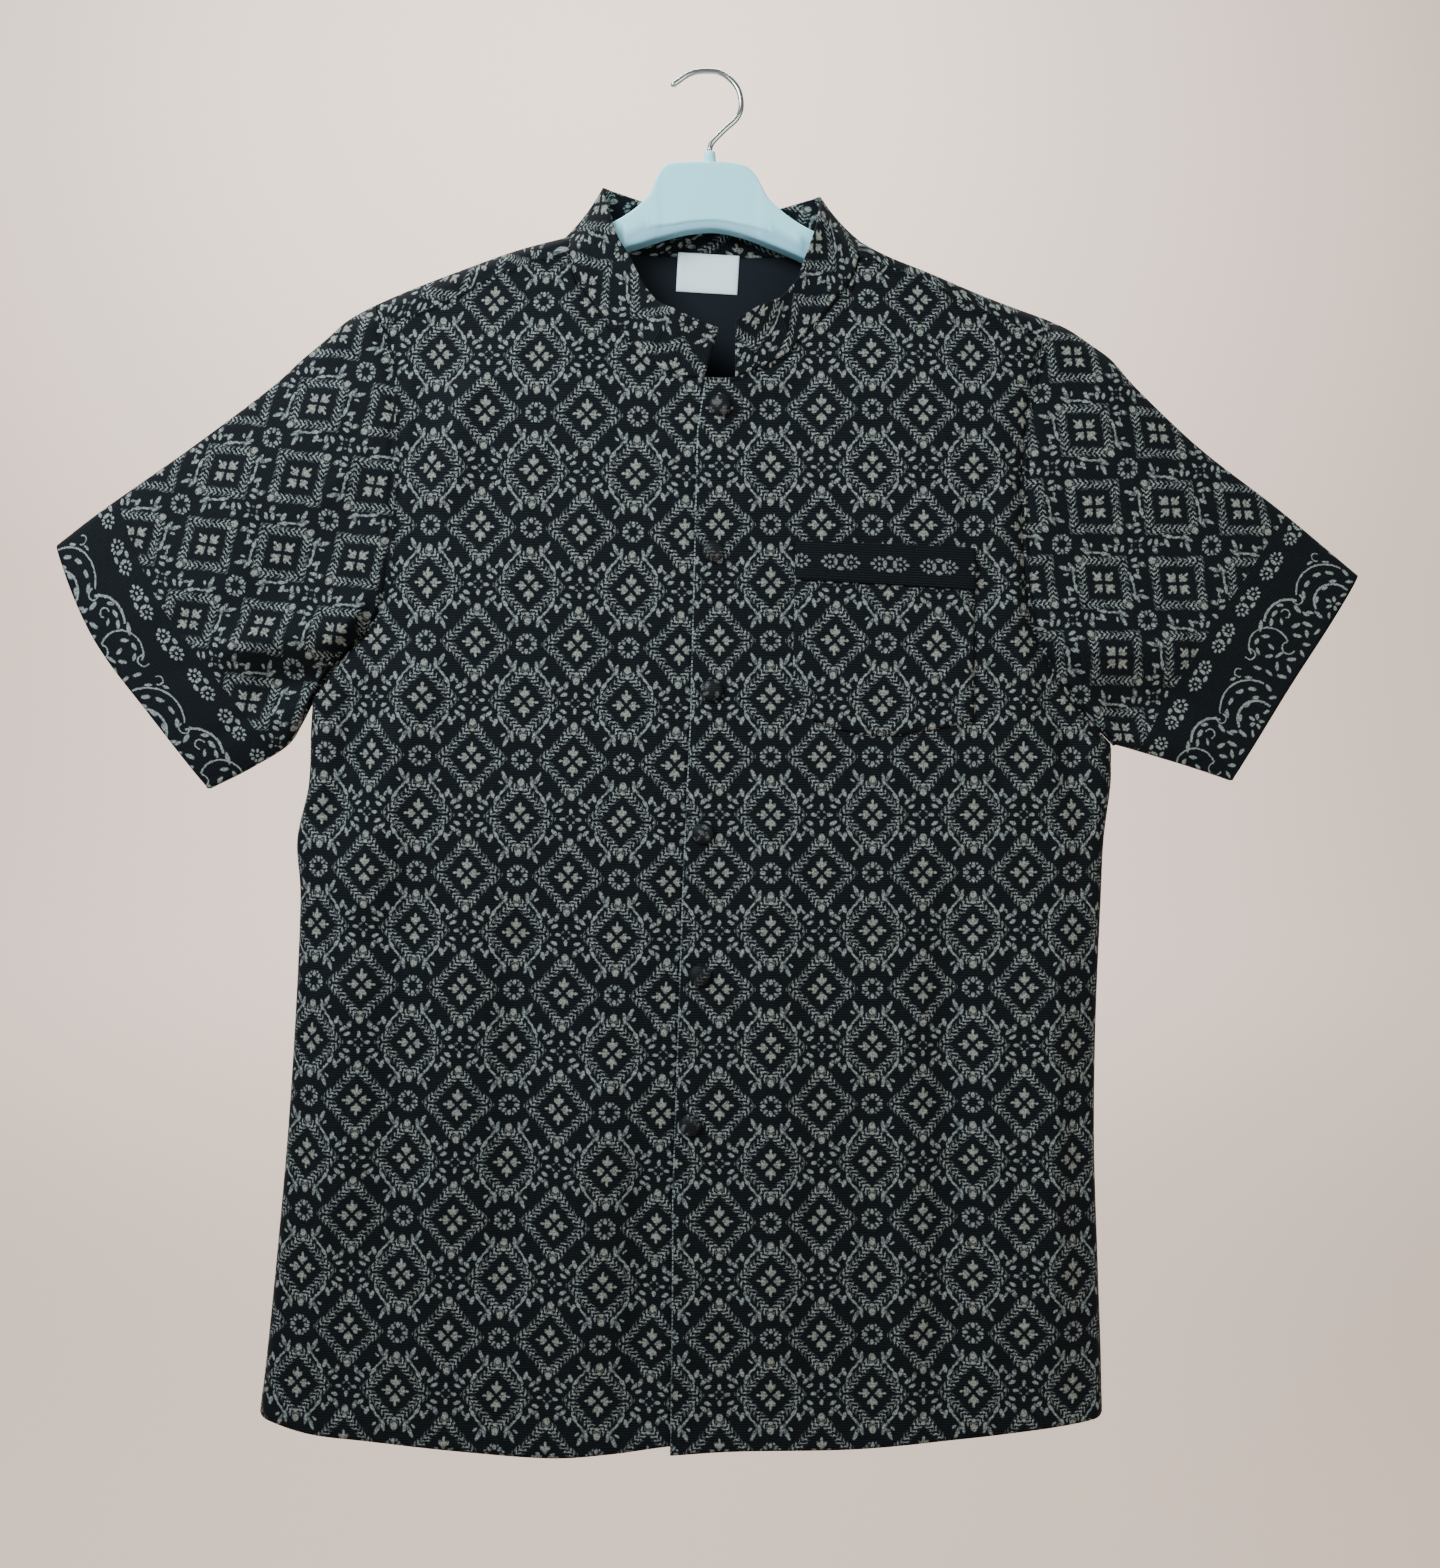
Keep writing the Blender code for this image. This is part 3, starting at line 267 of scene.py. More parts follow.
LEFT_SLEEVE_CREASES = [
    (0.06, 0.76, 0.65, 0.56, 0.07, 6.5), (0.10, 0.91, 0.66, 0.76, 0.08, -7.0),
    (0.05, 0.40, 0.60, 0.42, 0.10, -3.0), (0.10, 0.12, 0.55, 0.22, 0.10, 2.5),
    (0.02, 0.28, 0.34, 0.34, 0.035, 1.5), (0.03, 0.58, 0.38, 0.54, 0.035, -1.5),
    (0.05, 0.72, 0.45, 0.66, 0.030, 1.6), (0.52, 0.34, 0.90, 0.30, 0.045, 1.2),
    (0.50, 0.72, 0.90, 0.78, 0.04, -1.4), (0.62, 0.50, 0.95, 0.54, 0.05, 1.2),
    (0.02, 0.88, 0.30, 0.90, 0.03, -1.4), (0.58, 0.14, 0.92, 0.16, 0.05, -1.0),
]

# Lay of the sleeves' print: the slope of its rows, and the border's trim, bow and crowding on the cuff
RIGHT_SLEEVE_LAY = (55.5, 13.0, 0.0, 0.96)
LEFT_SLEEVE_LAY = (49.0, 1.0, 3.0, 1.1)

# Collar, from its right front end round the back to its left front end: the neck's seam, and its top edge
COLLAR_SEAM = [
    (-2.3, -21.8, -203.4), *NECK_RIGHT[1:], *NECK_BACK[1:-1], *NECK_LEFT[:1:-1], (17.5, -24.5, -203.6),
]
COLLAR_EDGE = [
    (6.9, -25, -172.8), (-9.2, -25.5, -166.6), (-18.6, -26, -161.6), (-25, -24.5, -158.8),
    (-32, -20.5, -153.8), (-38.6, -18, -145.6), (-45, -16.5, -134), (-51.5, -15, -121),
    (-57.8, -13.5, -110), (-63.2, -11.5, -94.4), (-67.8, -2, -75.4), (-62, 9.5, -72), (-46.4, 14.5, -75.5),
    (-20, 16.5, -82.5), (4, 17.5, -85), (28, 16.5, -84.5), (50, 14.5, -80.5), (66.5, 9.5, -77.5),
    (72.4, -2, -80.8), (71.2, -11.5, -94), (69, -14, -105), (65, -16, -117), (61, -17.5, -128),
    (57, -19, -139.4), (48, -21.5, -150.7), (42, -25, -155), (34, -27, -158.6), (17.9, -28, -168.1),
]
COLLAR_FINE = 8
COLLAR_ROWS = 20
COLLAR_BOW = 1.5
COLLAR_STAND = (0.1, -0.6)
# Dents across the band: the place along the table, the width in its rows, and the depth
COLLAR_DENTS = [(2.6, 0.22, 1.3), (24.6, 0.25, 1.1), (12.5, 0.5, 0.8), (15.5, 0.5, 0.7)]

POCKET_SIDES = {"left": (55.6, 53.3), "right": (169.8, 169.0)}
POCKET_TOP = (-307.6, -311.4)
POCKET_BAND_DROP = (24.0, 27.0)
POCKET_FOOT = (-415.0, -424.5, -430.5, -430.0, -426.0, -421.0)
BUTTONS = [(7.8, -221.8), (3.4, -313.9), (2.8, -401.6), (-2.9, -491.8), (-4.8, -581.3), (-11.1, -676.0)]
LABEL_CENTRE = (-0.3, -123.6)
LABEL_SIZE = (40.5, 25.5)
LABEL_TURN = -3.3
LINING_DROP = 150.0
LINING_STAND = 1.4
BUTTON = {"radius": 7.0, "height": 5.0, "brim": 1.2}
BUTTON_STAND = 0.2

# Hanger: x, top, foot and thickness of its section at each place along it
HANGER = [
    (-178, -142.0, -155.0, 7), (-150, -131.5, -148.0, 8), (-120, -120.5, -138.5, 9),
    (-95, -113.0, -130.0, 10), (-80, -107.5, -124.5, 12), (-62.6, -98.4, -117.5, 15),
    (-53, -93.0, -114.0, 15), (-44.3, -86.4, -111.5, 15), (-37.3, -78.5, -109.2, 15),
    (-33.4, -70.0, -108.0, 15), (-29.5, -62.4, -106.8, 14), (-25, -59.2, -105.6, 14),
    (-14, -58.2, -103.0, 14), (0, -58.0, -101.5, 14), (10, -58.6, -102.2, 14), (20, -59.6, -104.5, 14),
    (25, -61.2, -106.0, 14), (30.6, -66.5, -108.0, 14), (35, -74.5, -109.8, 15), (39.5, -82.3, -111.6, 15),
    (48.3, -90.9, -115.2, 15), (58, -98.0, -119.4, 15), (69.5, -104.2, -124.8, 15),
    (85, -110.5, -131.0, 12), (98, -116.0, -136.0, 10), (120, -128.0, -145.0, 9),
    (151.5, -141.0, -156.5, 8), (178, -151.5, -164.0, 7),
]
# Recessed lower strip of the hanger: its height at places along x, and the places of its two notches
STRIP = [
    (-178, 5), (-95, 10), (-62, 12), (-40, 8.5), (-20, 5.5), (0, 5), (20, 5.5), (44, 8.5), (66, 12),
    (98, 10), (178, 5),
]
STRIP_NOTCHES = (-55.0, 63.0)
HOOK = [
    (-24.1, -7.4), (-19.5, -4.2), (-14, -0.4), (-8, 2.0), (-1, 2.6), (7, 1.9), (14, -2.4), (19.2, -8.6),
    (21.4, -16), (21.2, -23), (18, -29.2), (11.5, -35), (5.4, -41), (2.4, -44.5), (1.2, -48), (1.2, -50),
]
WIRE = 3.5
# Socket of the hook: radius and height of its profile, round the wire's place
SOCKET = [(0.02, -50.3), (2.9, -50.3), (3.5, -50.8), (4.2, -57.2), (4.2, -57.9), (0.02, -57.9)]
SOCKET_PLACE = 1.2
SOCKET_SIDES = 40

# Own design of the print, in millimetres. A cell holds two diamonds, a rosette and a cross, and is the same
# when mirrored, so the strokes fill a quarter of it: x to the rosette and y to the cross. Each stroke is an
# ellipse: its x, y, angle, length and width.
CELL = (64.7, 73.4)
BLOOM = [
    (0, 4.9, 90, 5.6, 2.8), (1.8, 5.3, 56, 4.0, 2.3), (0, 8.4, 90, 2.8, 1.6), (4.2, 0, 0, 4.7, 2.5),
    (4.5, 1.6, 30, 3.5, 2.1), (7.7, 0, 0, 2.3, 1.5), (0, 22.4, 90, 4.6, 4.0), (0, 18.0, 90, 2.4, 2.6),
]
# The ring round the bloom, which leaves and flecks break up: two long ends, the side between, and its tip
RING = [
    (15.2, 4.0, -36, 13.8, 5.9), (4.5, 16.3, -57, 13.4, 6.1), (9.8, 10.0, -47, 10.0, 5.4),
    (20.6, 0.8, -12, 4.4, 2.0),
]
FIELD = [
    (0, 31.7, 90, 3.8, 2.3), (5.0, 36.7, 0, 3.6, 2.2), (2.0, 34.9, 45, 1.8, 1.3), (27.5, 0, 0, 3.4, 2.4),
    (29.0, 3.3, -45, 3.4, 2.4), (32.35, 4.8, 90, 3.4, 2.4), (26.6, 2.4, 20, 1.8, 1.2),
    (30.2, 5.9, 70, 1.8, 1.2), (21.8, 11.6, 64, 7.6, 2.5), (25.4, 14.4, 100, 7.0, 2.3),
    (22.8, 18.2, 118, 5.4, 1.6), (19.6, 15.0, 40, 3.2, 1.6), (14.3, 22.8, 72, 5.4, 2.6),
    (17.9, 24.8, 122, 5.0, 2.3), (20.2, 21.2, -45, 4.8, 1.4), (16.4, 28.0, 80, 3.4, 1.6),
    (6.2, 25.6, 72, 5.2, 2.7), (10.0, 28.2, 48, 4.8, 2.5), (7.4, 31.4, 22, 4.4, 2.3),
    (11.8, 24.6, 130, 3.6, 1.7),
]
# Small motif of the plain bands: an oval of petals between two flowers of dots, the same when mirrored
BAND_PITCH = 31.2
BAND_DOTS = [
    (0, 4.0, 0, 4.2, 2.4), (3.1, 0.3, 84, 4.2, 2.4), (6.7, 0, 0, 2.0, 1.7), (11.0, 0, 0, 2.8, 1.8),
    (9.3, 2.4, 45, 2.4, 1.7), (6.8, 3.5, 90, 2.4, 1.7), (4.7, 3.0, 135, 2.0, 1.4),
]
# Vine of the cuffs: x along the cuff and y away from its edge
VINE_PITCH = 100.0
# Stems of the vine: x, y, radius and width of an arc, the angle of its middle, and half of its span
STEMS = [
    (26, 11, 21.5, 1.1, 113, 60), (29, 5, 13.3, 1.5, 113, 78), (59, 21, 17.0, 1.5, 112, 52),
    (81, 24, 13.5, 1.1, 125, 92), (41.5, 26, 3.4, 0.9, -60, 130), (55, 27.5, 3.0, 0.9, 200, 125),
    (93, 32, 3.6, 0.9, -100, 130), (74, 13, 4.2, 0.9, 20, 120), (8, 31.5, 2.8, 0.8, 60, 120),
]
VINE = [
    (30, 8.6, 90, 4.0, 2.2), (26.8, 6.4, 150, 4.0, 2.2), (33.2, 6.4, 30, 4.0, 2.2), (28, 2.4, 55, 3.6, 2.0),
    (32, 2.4, 125, 3.6, 2.0), (42.4, 9.0, 100, 6.5, 2.4), (44.6, 14.5, 60, 5.0, 2.0),
    (16.2, 13.6, 45, 5.0, 2.2), (23.5, 15.6, 15, 5.0, 2.2), (34.0, 15.4, -20, 5.0, 2.2),
    (12.4, 18.4, 64, 5.6, 2.6), (18.6, 24.4, 34, 5.6, 2.6), (28.0, 26.4, 0, 5.2, 2.5),
    (36.4, 24.2, -35, 5.6, 2.5), (7.0, 24.5, 58, 4.6, 1.7), (14.0, 32.6, 30, 4.6, 1.7),
    (47.4, 22.6, -70, 6.2, 2.6), (47.0, 16.4, -95, 4.6, 2.0), (71.6, 36.0, -24, 8.0, 2.4),
    (52.0, 33.6, 50, 4.8, 2.2), (59.0, 33.4, 5, 5.6, 2.5), (65.4, 31.8, -25, 5.2, 2.2),
    (61.0, 26.5, -40, 4.6, 1.9), (52.6, 11.6, 80, 6.4, 2.6), (57.8, 17.4, 30, 6.0, 2.6),
    (58.4, 8.4, 140, 5.6, 2.3), (63.2, 12.6, 70, 5.6, 2.3), (53.4, 3.6, 10, 5.2, 2.1),
    (65.0, 4.6, 60, 5.2, 2.3), (76.0, 29.6, 60, 5.2, 2.4), (82.4, 32.6, 0, 5.0, 2.3),
    (88.0, 28.6, -50, 5.0, 2.3), (80.0, 22.8, 110, 5.0, 2.3), (86.4, 20.6, 45, 5.0, 2.3),
    (81.4, 15.4, 20, 6.4, 2.1), (89.4, 12.6, -30, 6.0, 2.2), (72.0, 3.6, 120, 5.0, 2.0),
    (79.6, 7.2, 50, 6.0, 2.4), (86.4, 5.0, 130, 5.4, 2.2), (93.6, 6.4, 70, 6.0, 2.4),
    (96.4, 15.0, 100, 5.4, 2.2), (98.0, 23.0, 75, 5.4, 2.0), (5.4, 9.6, 110, 5.6, 2.4),
    (9.6, 4.2, 50, 5.2, 2.2), (20.6, 2.8, 30, 4.6, 1.9), (38.6, 3.2, 150, 4.6, 1.9),
]
# Heights above the cuff's edge: the vine's top, the middle of the band, and the start of the print
VINE_HEIGHT = 39.0
BAND_CENTRE = 52.0
FIELD_START = 62.0


def smooth_step(value):
    """3 t^2 - 2 t^3, with t held between 0 and 1."""
    held = np.clip(value, 0.0, 1.0)
    return held * held * (3.0 - 2.0 * held)


def unit(vectors):
    """The same directions with a length of 1."""
    vectors = np.asarray(vectors, float)
    return vectors / np.linalg.norm(vectors, axis=-1, keepdims=True)


def refined(keys, steps):
    """Smooth curve through the rows of keys (Catmull-Rom), with the given steps between each two rows."""
    keys = np.asarray(keys, float)
    padded = np.concatenate([2 * keys[:1] - keys[1:2], keys, 2 * keys[-1:] - keys[-2:-1]])
    t = np.linspace(0, 1, steps, endpoint=False).reshape((-1,) + (1,) * (keys.ndim - 1))
    a, b, c, d = (padded[start : start + len(keys) - 1] for start in range(4))
    parts = [0.5 * (2 * b[i] + (c[i] - a[i]) * t + (2 * a[i] - 5 * b[i] + 4 * c[i] - d[i]) * t**2
                    + (3 * b[i] - a[i] - 3 * c[i] + d[i]) * t**3) for i in range(len(b))]
    return np.concatenate(parts + [keys[-1:]])


def arc_lengths(curve):
    """Length along a curve up to each of its points."""
    return np.concatenate([[0], np.cumsum(np.linalg.norm(np.diff(curve, axis=0), axis=1))])


def arc_shares(curve):
    """Length up to each point as a share of the whole."""
    lengths = arc_lengths(curve)
    return lengths / lengths[-1]


def along(points, shares):
    """Points at the given shares of the length of a smooth curve through the points."""
    fine = refined(points, 48)
    held = arc_shares(fine)
    return np.stack([np.interp(shares, held, fine[:, axis]) for axis in range(fine.shape[1])], axis=1)


def patch(top, bottom, left, right):
    """Coons patch between four edge curves: rows run from top to bottom, columns from left to right."""
    u = (arc_shares(top) + arc_shares(bottom))[None, :, None] / 2
    v = (arc_shares(left) + arc_shares(right))[:, None, None] / 2
    between = (1 - v) * top[None] + v * bottom[None] + (1 - u) * left[:, None] + u * right[:, None]
    corners = (1 - u) * (1 - v) * top[0] + u * (1 - v) * top[-1]
    corners = corners + (1 - u) * v * bottom[0] + u * v * bottom[-1]
    return between - corners


def creases_at(x, z, table):
    """Sum of height * fade * exp(-(distance / width)^2) over the creases, faded out towards their ends."""
    total = np.zeros_like(x)
    for x0, z0, x1, z1, width, height in table:
        run = np.array([x1 - x0, z1 - z0])
        held = np.clip(((x - x0) * run[0] + (z - z0) * run[1]) / (run @ run), 0, 1)
        distance = np.hypot(x - x0 - held * run[0], z - z0 - held * run[1])
        fade = smooth_step(held * 4 + 0.25) * smooth_step((1 - held) * 4 + 0.25)
        total += height * fade * np.exp(-((distance / width) ** 2))
    return total


def with_y(points, y):
    """Points (x, z) as (x, y, z)."""
    points = np.asarray(points, float)
    return np.stack([points[:, 0], np.broadcast_to(y, len(points)), points[:, 1]], axis=1)


def across(curve, towards):
    """Unit directions in the plane of the shirt, square to a curve and turned the way towards points."""
    run = np.gradient(curve, axis=0)
    turned = unit(np.stack([run[:, 2], np.zeros(len(run)), -run[:, 0]], axis=1))
    flip = np.sign(turned @ np.asarray(towards, float))
    return turned * flip[:, None]


def lens(share):
    """Depth of the laid-flat body across its width: 1 at the middle, 0 at the fold, with a rounded fold."""
    return (1.0 - np.clip(np.abs(share), 0, 1) ** 3) ** (1 / 2.2)


class Armhole:
    """The seam between one sleeve and the body: down the front, and over the shoulder and down the back."""

    def __init__(self, outline, outwards):
        shares = np.linspace(0, 1, ARM_ROWS + 1)
        plan = along(outline["armhole"], shares)
        drop = smooth_step((shares - 0.55) / 0.45)
        rise = smooth_step(shares / 0.25)
        depth = (RIDGE_DEPTH + ARMHOLE_SWELL * rise) * (1 - drop) + UNDERARM_DEPTH * drop
        self.front = with_y(plan, -depth)
        ridge = np.array(outline["ridge"][-1], float)
        seam = np.array(outline["armhole"][0], float)
        back_top = ridge + (seam - ridge) * 0.9
        keys = np.array([[*seam, -RIDGE_DEPTH], [*(0.45 * seam + 0.55 * ridge), -6.5], [*ridge, 0.0],
                         [*(0.45 * back_top + 0.55 * ridge), 6.5], [*back_top, RIDGE_DEPTH]])[:, [0, 2, 1]]
        self.over = refined(keys, OVER_STEPS // 4)
        self.back = self.front * np.array([1, -1, 1])
        self.back[0] = self.over[-1]
        self.out_front = across(self.front, outwards)
        self.out_back = self.out_front.copy()
        slope = unit([outline["ridge"][-1][0] - outline["ridge"][-2][0], 0,
                      outline["ridge"][-1][1] - outline["ridge"][-2][1]])
        self.out_over = np.repeat(slope[None], len(self.over), axis=0)
        self.out_over[0] = self.out_over[-1] = unit(slope + self.out_front[0])
        self.out_front[0] = self.out_back[0] = self.out_over[0]


def seam_pull(distance):
    """How far cloth is drawn in beside a seam, falling off as exp(-(distance / SEAM_REACH)^2)."""
    return SEAM_DRAW * np.exp(-((distance / SEAM_REACH) ** 2))


def side_edge(outline, arm, facing):
    """Armhole and side seam as one edge, top to hem, with its rim, for the front (-1) or the back (+1)."""
    seam, out = (arm.front, arm.out_front) if facing < 0 else (arm.back, arm.out_back)
    inner = seam - (RIM + GAP / 2) * out
    rim = seam - GAP / 2 * out
    shares = np.linspace(0, 1, PANEL_ROWS - ARM_ROWS + 1)
    down = with_y(along(outline["side"], shares), facing * UNDERARM_DEPTH)
    down += (inner[-1] - down[0]) * smooth_step(1 - 16 * shares)[:, None]
    rim_down = down.copy()
    rim_down[:, 1] = facing * (SIDE_GAP / 2 + smooth_step(1 - 5.3 * shares))
    return np.vstack([inner[:-1], down]), np.vstack([rim[:-1], rim_down])


def panel_chart(grid, start):
    """Place of each point in the flat cut: the length along its row, from the start column, and z."""
    steps = np.hypot(np.diff(grid[..., 0], axis=1), np.diff(grid[..., 1], axis=1))
    steps *= np.sign(grid[5, -1, 0] - grid[5, 0, 0])
    run = np.concatenate([np.zeros((len(grid), 1)), np.cumsum(steps, axis=1)], axis=1)
    run += grid[:, start : start + 1, 0] - run[:, start : start + 1]
    return np.stack([run, grid[..., 2]], axis=2)


def front_panel(outline, neck, arm, shift, lift):
    """One front, from its closing edge to its side, with rims at the shoulder, the armhole and the side.

    Its edges are joined as a Coons patch, its depth follows lens() across, and the creases are added.
    """
    neck_curve = along(neck, np.linspace(0, 1, NECK_COLUMNS + 1))
    shares = np.linspace(0, 1, FRONT_COLUMNS - NECK_COLUMNS + 1)
    shoulder = with_y(along(outline["shoulder"], shares), -RIDGE_DEPTH)
    up_neck = across(neck_curve, (-np.sign(outline["ridge"][0][0]), 0, 1.0))
    up_shoulder = np.repeat(unit([SHOULDER_UP]), len(shoulder), axis=0)
    rim_top = np.vstack([neck_curve[:-1], shoulder - GAP / 2 * up_shoulder])
    up = np.vstack([up_neck[:-1], up_shoulder])
    up[NECK_COLUMNS] = unit(up_neck[-1] + up_shoulder[0])
    top = rim_top - RIM * up
    side, side_rim = side_edge(outline, arm, -1)
    fall = unit(arm.front[1] - arm.front[0])
    side[0] += (RIM + 2 * GAP) * fall
    side_rim[0] += (RIM + 2 * GAP) * fall
    top[-1] = side[0]
    closing = edge_points(np.linspace(top[0, 2], outline["hem"][-1][1], PANEL_ROWS + 1), shift)
    near = smooth_step(1 - (closing[0, 2] - closing[:, 2]) / NECK_EASE)
    closing[:, 1] = near * top[0, 1] - (1 - near) * (FRONT_DEPTH + lift)
    closing[0] = top[0]
    hem = with_y(along(outline["hem"][::-1], np.linspace(0, 1, FRONT_COLUMNS + 1) ** 0.8), 0)
    hem[0], hem[-1] = closing[-1], side[-1]
    hem[:, 1] = np.linspace(closing[-1, 1], side[-1, 1], len(hem))
    grid = patch(top, hem, closing, side)
    from_edge = np.abs(grid[..., 0] - grid[:, :1, 0])
    u = from_edge / from_edge[:, -1:]
    v = np.linspace(0, 1, PANEL_ROWS + 1)[:, None]
    lifted = FRONT_DEPTH + lift * (1 - smooth_step(from_edge / CLOSING_EASE))
    full = grid[:, -1:, 1] - (lifted + grid[:, -1:, 1]) * lens(u)
    grid[..., 1] += (full - grid[..., 1]) * smooth_step(v / 0.14)
    top_rim = np.vstack([rim_top, side_rim[:1] - RIM * fall])
    top_rim[-2] = side[0] - RIM * fall
    rimmed = np.concatenate([top_rim[None], np.concatenate([grid, side_rim[:, None]], axis=1)], axis=0)
    chart = panel_chart(rimmed, 0)
    inner = rimmed[1:, :-1]
    for table, (down, inward) in ((FRONT_CREASES, FRONT_GROWTH), (FINE_FRONT_CREASES, FINE_FRONT_GROWTH)):
        grown = smooth_step(v * down) * smooth_step((1 - u) * inward)
        inner[..., 1] -= grown * creases_at(inner[..., 0], inner[..., 2], table)
    to_side = np.abs(inner[..., 0] - inner[:, -1:, 0])
    from_top = inner[:1, :, 2] - inner[..., 2]
    inner[..., 1] += seam_pull(to_side) + seam_pull(from_top)
    inner[..., 1] -= HEM_STEP * smooth_step((inner[-1:, :, 2] + HEM_TURN - inner[..., 2]) / 2)
    from_closing = np.abs(chart[..., :1] - chart[:, :1, :1])
    return rimmed, np.concatenate([chart, from_closing, chart[..., 1:]], axis=2)


def edge_points(z, shift):
    """Points of the closing edge at the given heights, moved to the wearer's left below the collar."""
    table = np.array(FRONT_EDGE, float)[::-1]
    x = np.interp(z, table[:, 1], table[:, 0]) + shift * smooth_step((-190.0 - z) / 60.0)
    return np.stack([x, np.zeros_like(z), z], axis=1)


def back_panel(arms):
    """The back with its two strips over the shoulders, as one grid. Places outside the cut are NaN.

    The body is a Coons patch whose depth follows lens() across. The strips run over the ridge to the seam.
    """
    shoulder_columns = FRONT_COLUMNS - NECK_COLUMNS
    neck_columns = BACK_COLUMNS - 2 * shoulder_columns
    up = unit([SHOULDER_UP])
    strips = []
    for outline, arm, neck in ((RIGHT, arms[0], NECK_BACK[2]), (LEFT, arms[1], NECK_BACK[-3])):
        shares = np.linspace(0, 1, shoulder_columns + 1)
        seam = with_y(along(outline["shoulder"], shares), -RIDGE_DEPTH)
        ridge = with_y(along(outline["ridge"], shares), 0.0)
        fall = ridge + np.array([0, RIDGE_DEPTH, 0]) + 0.9 * (seam - ridge) * np.array([1, 0, 1])
        near = smooth_step(1 - shares * 3)[:, None]
        fall = fall * (1 - near) + np.array(neck) * near
        first, second = seam + GAP / 2 * up, seam + (RIM + GAP / 2) * up
        tips = arm.over - (RIM + GAP / 2) * arm.out_over
        first[-1], second[-1] = tips[0] + GAP / 2 * up[0], tips[0] + (RIM + GAP / 2) * up[0]
        ridge[-1], fall[-1] = tips[OVER_STEPS // 2], tips[-1]
        keys = [second, (second + ridge) / 2 + np.array([0, -2.2, 1.6]), ridge,
                (ridge + fall) / 2 + np.array([0, 2.2, 1.6]), fall]
        strips.append(np.concatenate([first[None], refined(np.array(keys), OVER_STEPS // 4)]))
    right, left = strips
    neck_back = along(NECK_BACK[2:-2], np.linspace(0, 1, neck_columns + 1))
    top = np.vstack([right[-1][::-1], neck_back[1:-1], left[-1]])
    sides = [side_edge(outline, arm, 1) for outline, arm in ((RIGHT, arms[0]), (LEFT, arms[1]))]
    for (inner, rim), arm in zip(sides, arms):
        inner[0] = arm.over[-1] - (RIM + GAP / 2) * arm.out_over[-1]
        rim[0] = arm.over[-1] - GAP / 2 * arm.out_over[-1]
    top[0], top[-1] = sides[0][0][0], sides[1][0][0]
    hem = with_y(along(BACK_HEM, np.linspace(0, 1, BACK_COLUMNS + 1)), UNDERARM_DEPTH)
    hem[0], hem[-1] = sides[0][0][-1], sides[1][0][-1]
    grid = patch(top, hem, sides[0][0], sides[1][0])
    u = (grid[..., 0] - grid[:, :1, 0]) / (grid[:, -1:, 0] - grid[:, :1, 0])
    v = np.linspace(0, 1, PANEL_ROWS + 1)[:, None]
    ends = grid[:, :1, 1] * (1 - u) + grid[:, -1:, 1] * u
    full = ends + (BACK_DEPTH - ends) * lens(2 * u - 1)
    grid[..., 1] += (full - grid[..., 1]) * smooth_step(v / 0.1)
    body_chart = panel_chart(grid, BACK_COLUMNS // 2)
    for table, (down, inward) in ((BACK_CREASES, BACK_GROWTH), (FINE_BACK_CREASES, FINE_BACK_GROWTH)):
        grown = smooth_step(v * down) * smooth_step((1 - np.abs(2 * u - 1)) * inward)
        grid[..., 1] += grown * creases_at(grid[..., 0], grid[..., 2], table)
    grid[..., 1] += HEM_STEP * smooth_step((grid[-1:, :, 2] + HEM_TURN - grid[..., 2]) / 2)
    body = np.concatenate([sides[0][1][:, None], grid, sides[1][1][:, None]], axis=1)
    rows = OVER_STEPS + 1
    upper = np.full((rows, BACK_COLUMNS + 3, 3), np.nan)
    upper[:, 1 : shoulder_columns + 2] = right[:-1, ::-1]
    upper[:, -shoulder_columns - 2 : -1] = left[:-1]
    for column, beside, arm in ((0, 1, arms[0]), (-1, -2, arms[1])):
        upper[:, column] = upper[:, beside] + RIM * arm.out_over[:rows]
    whole = np.concatenate([upper, body], axis=0)
    chart = np.full(whole.shape[:2] + (2,), np.nan)
    chart[rows:, 1:-1] = body_chart
    chart[rows:, 0] = body_chart[:, 0] - np.array([RIM, 0])
    chart[rows:, -1] = body_chart[:, -1] + np.array([RIM, 0])
    rise = np.linalg.norm(np.diff(whole[: rows + 1], axis=0), axis=2)[::-1]
    chart[:rows, :, 0] = chart[rows, :, 0]
    chart[:rows, :, 1] = chart[rows, :, 1] + np.cumsum(rise, axis=0)[::-1]
    return whole, chart


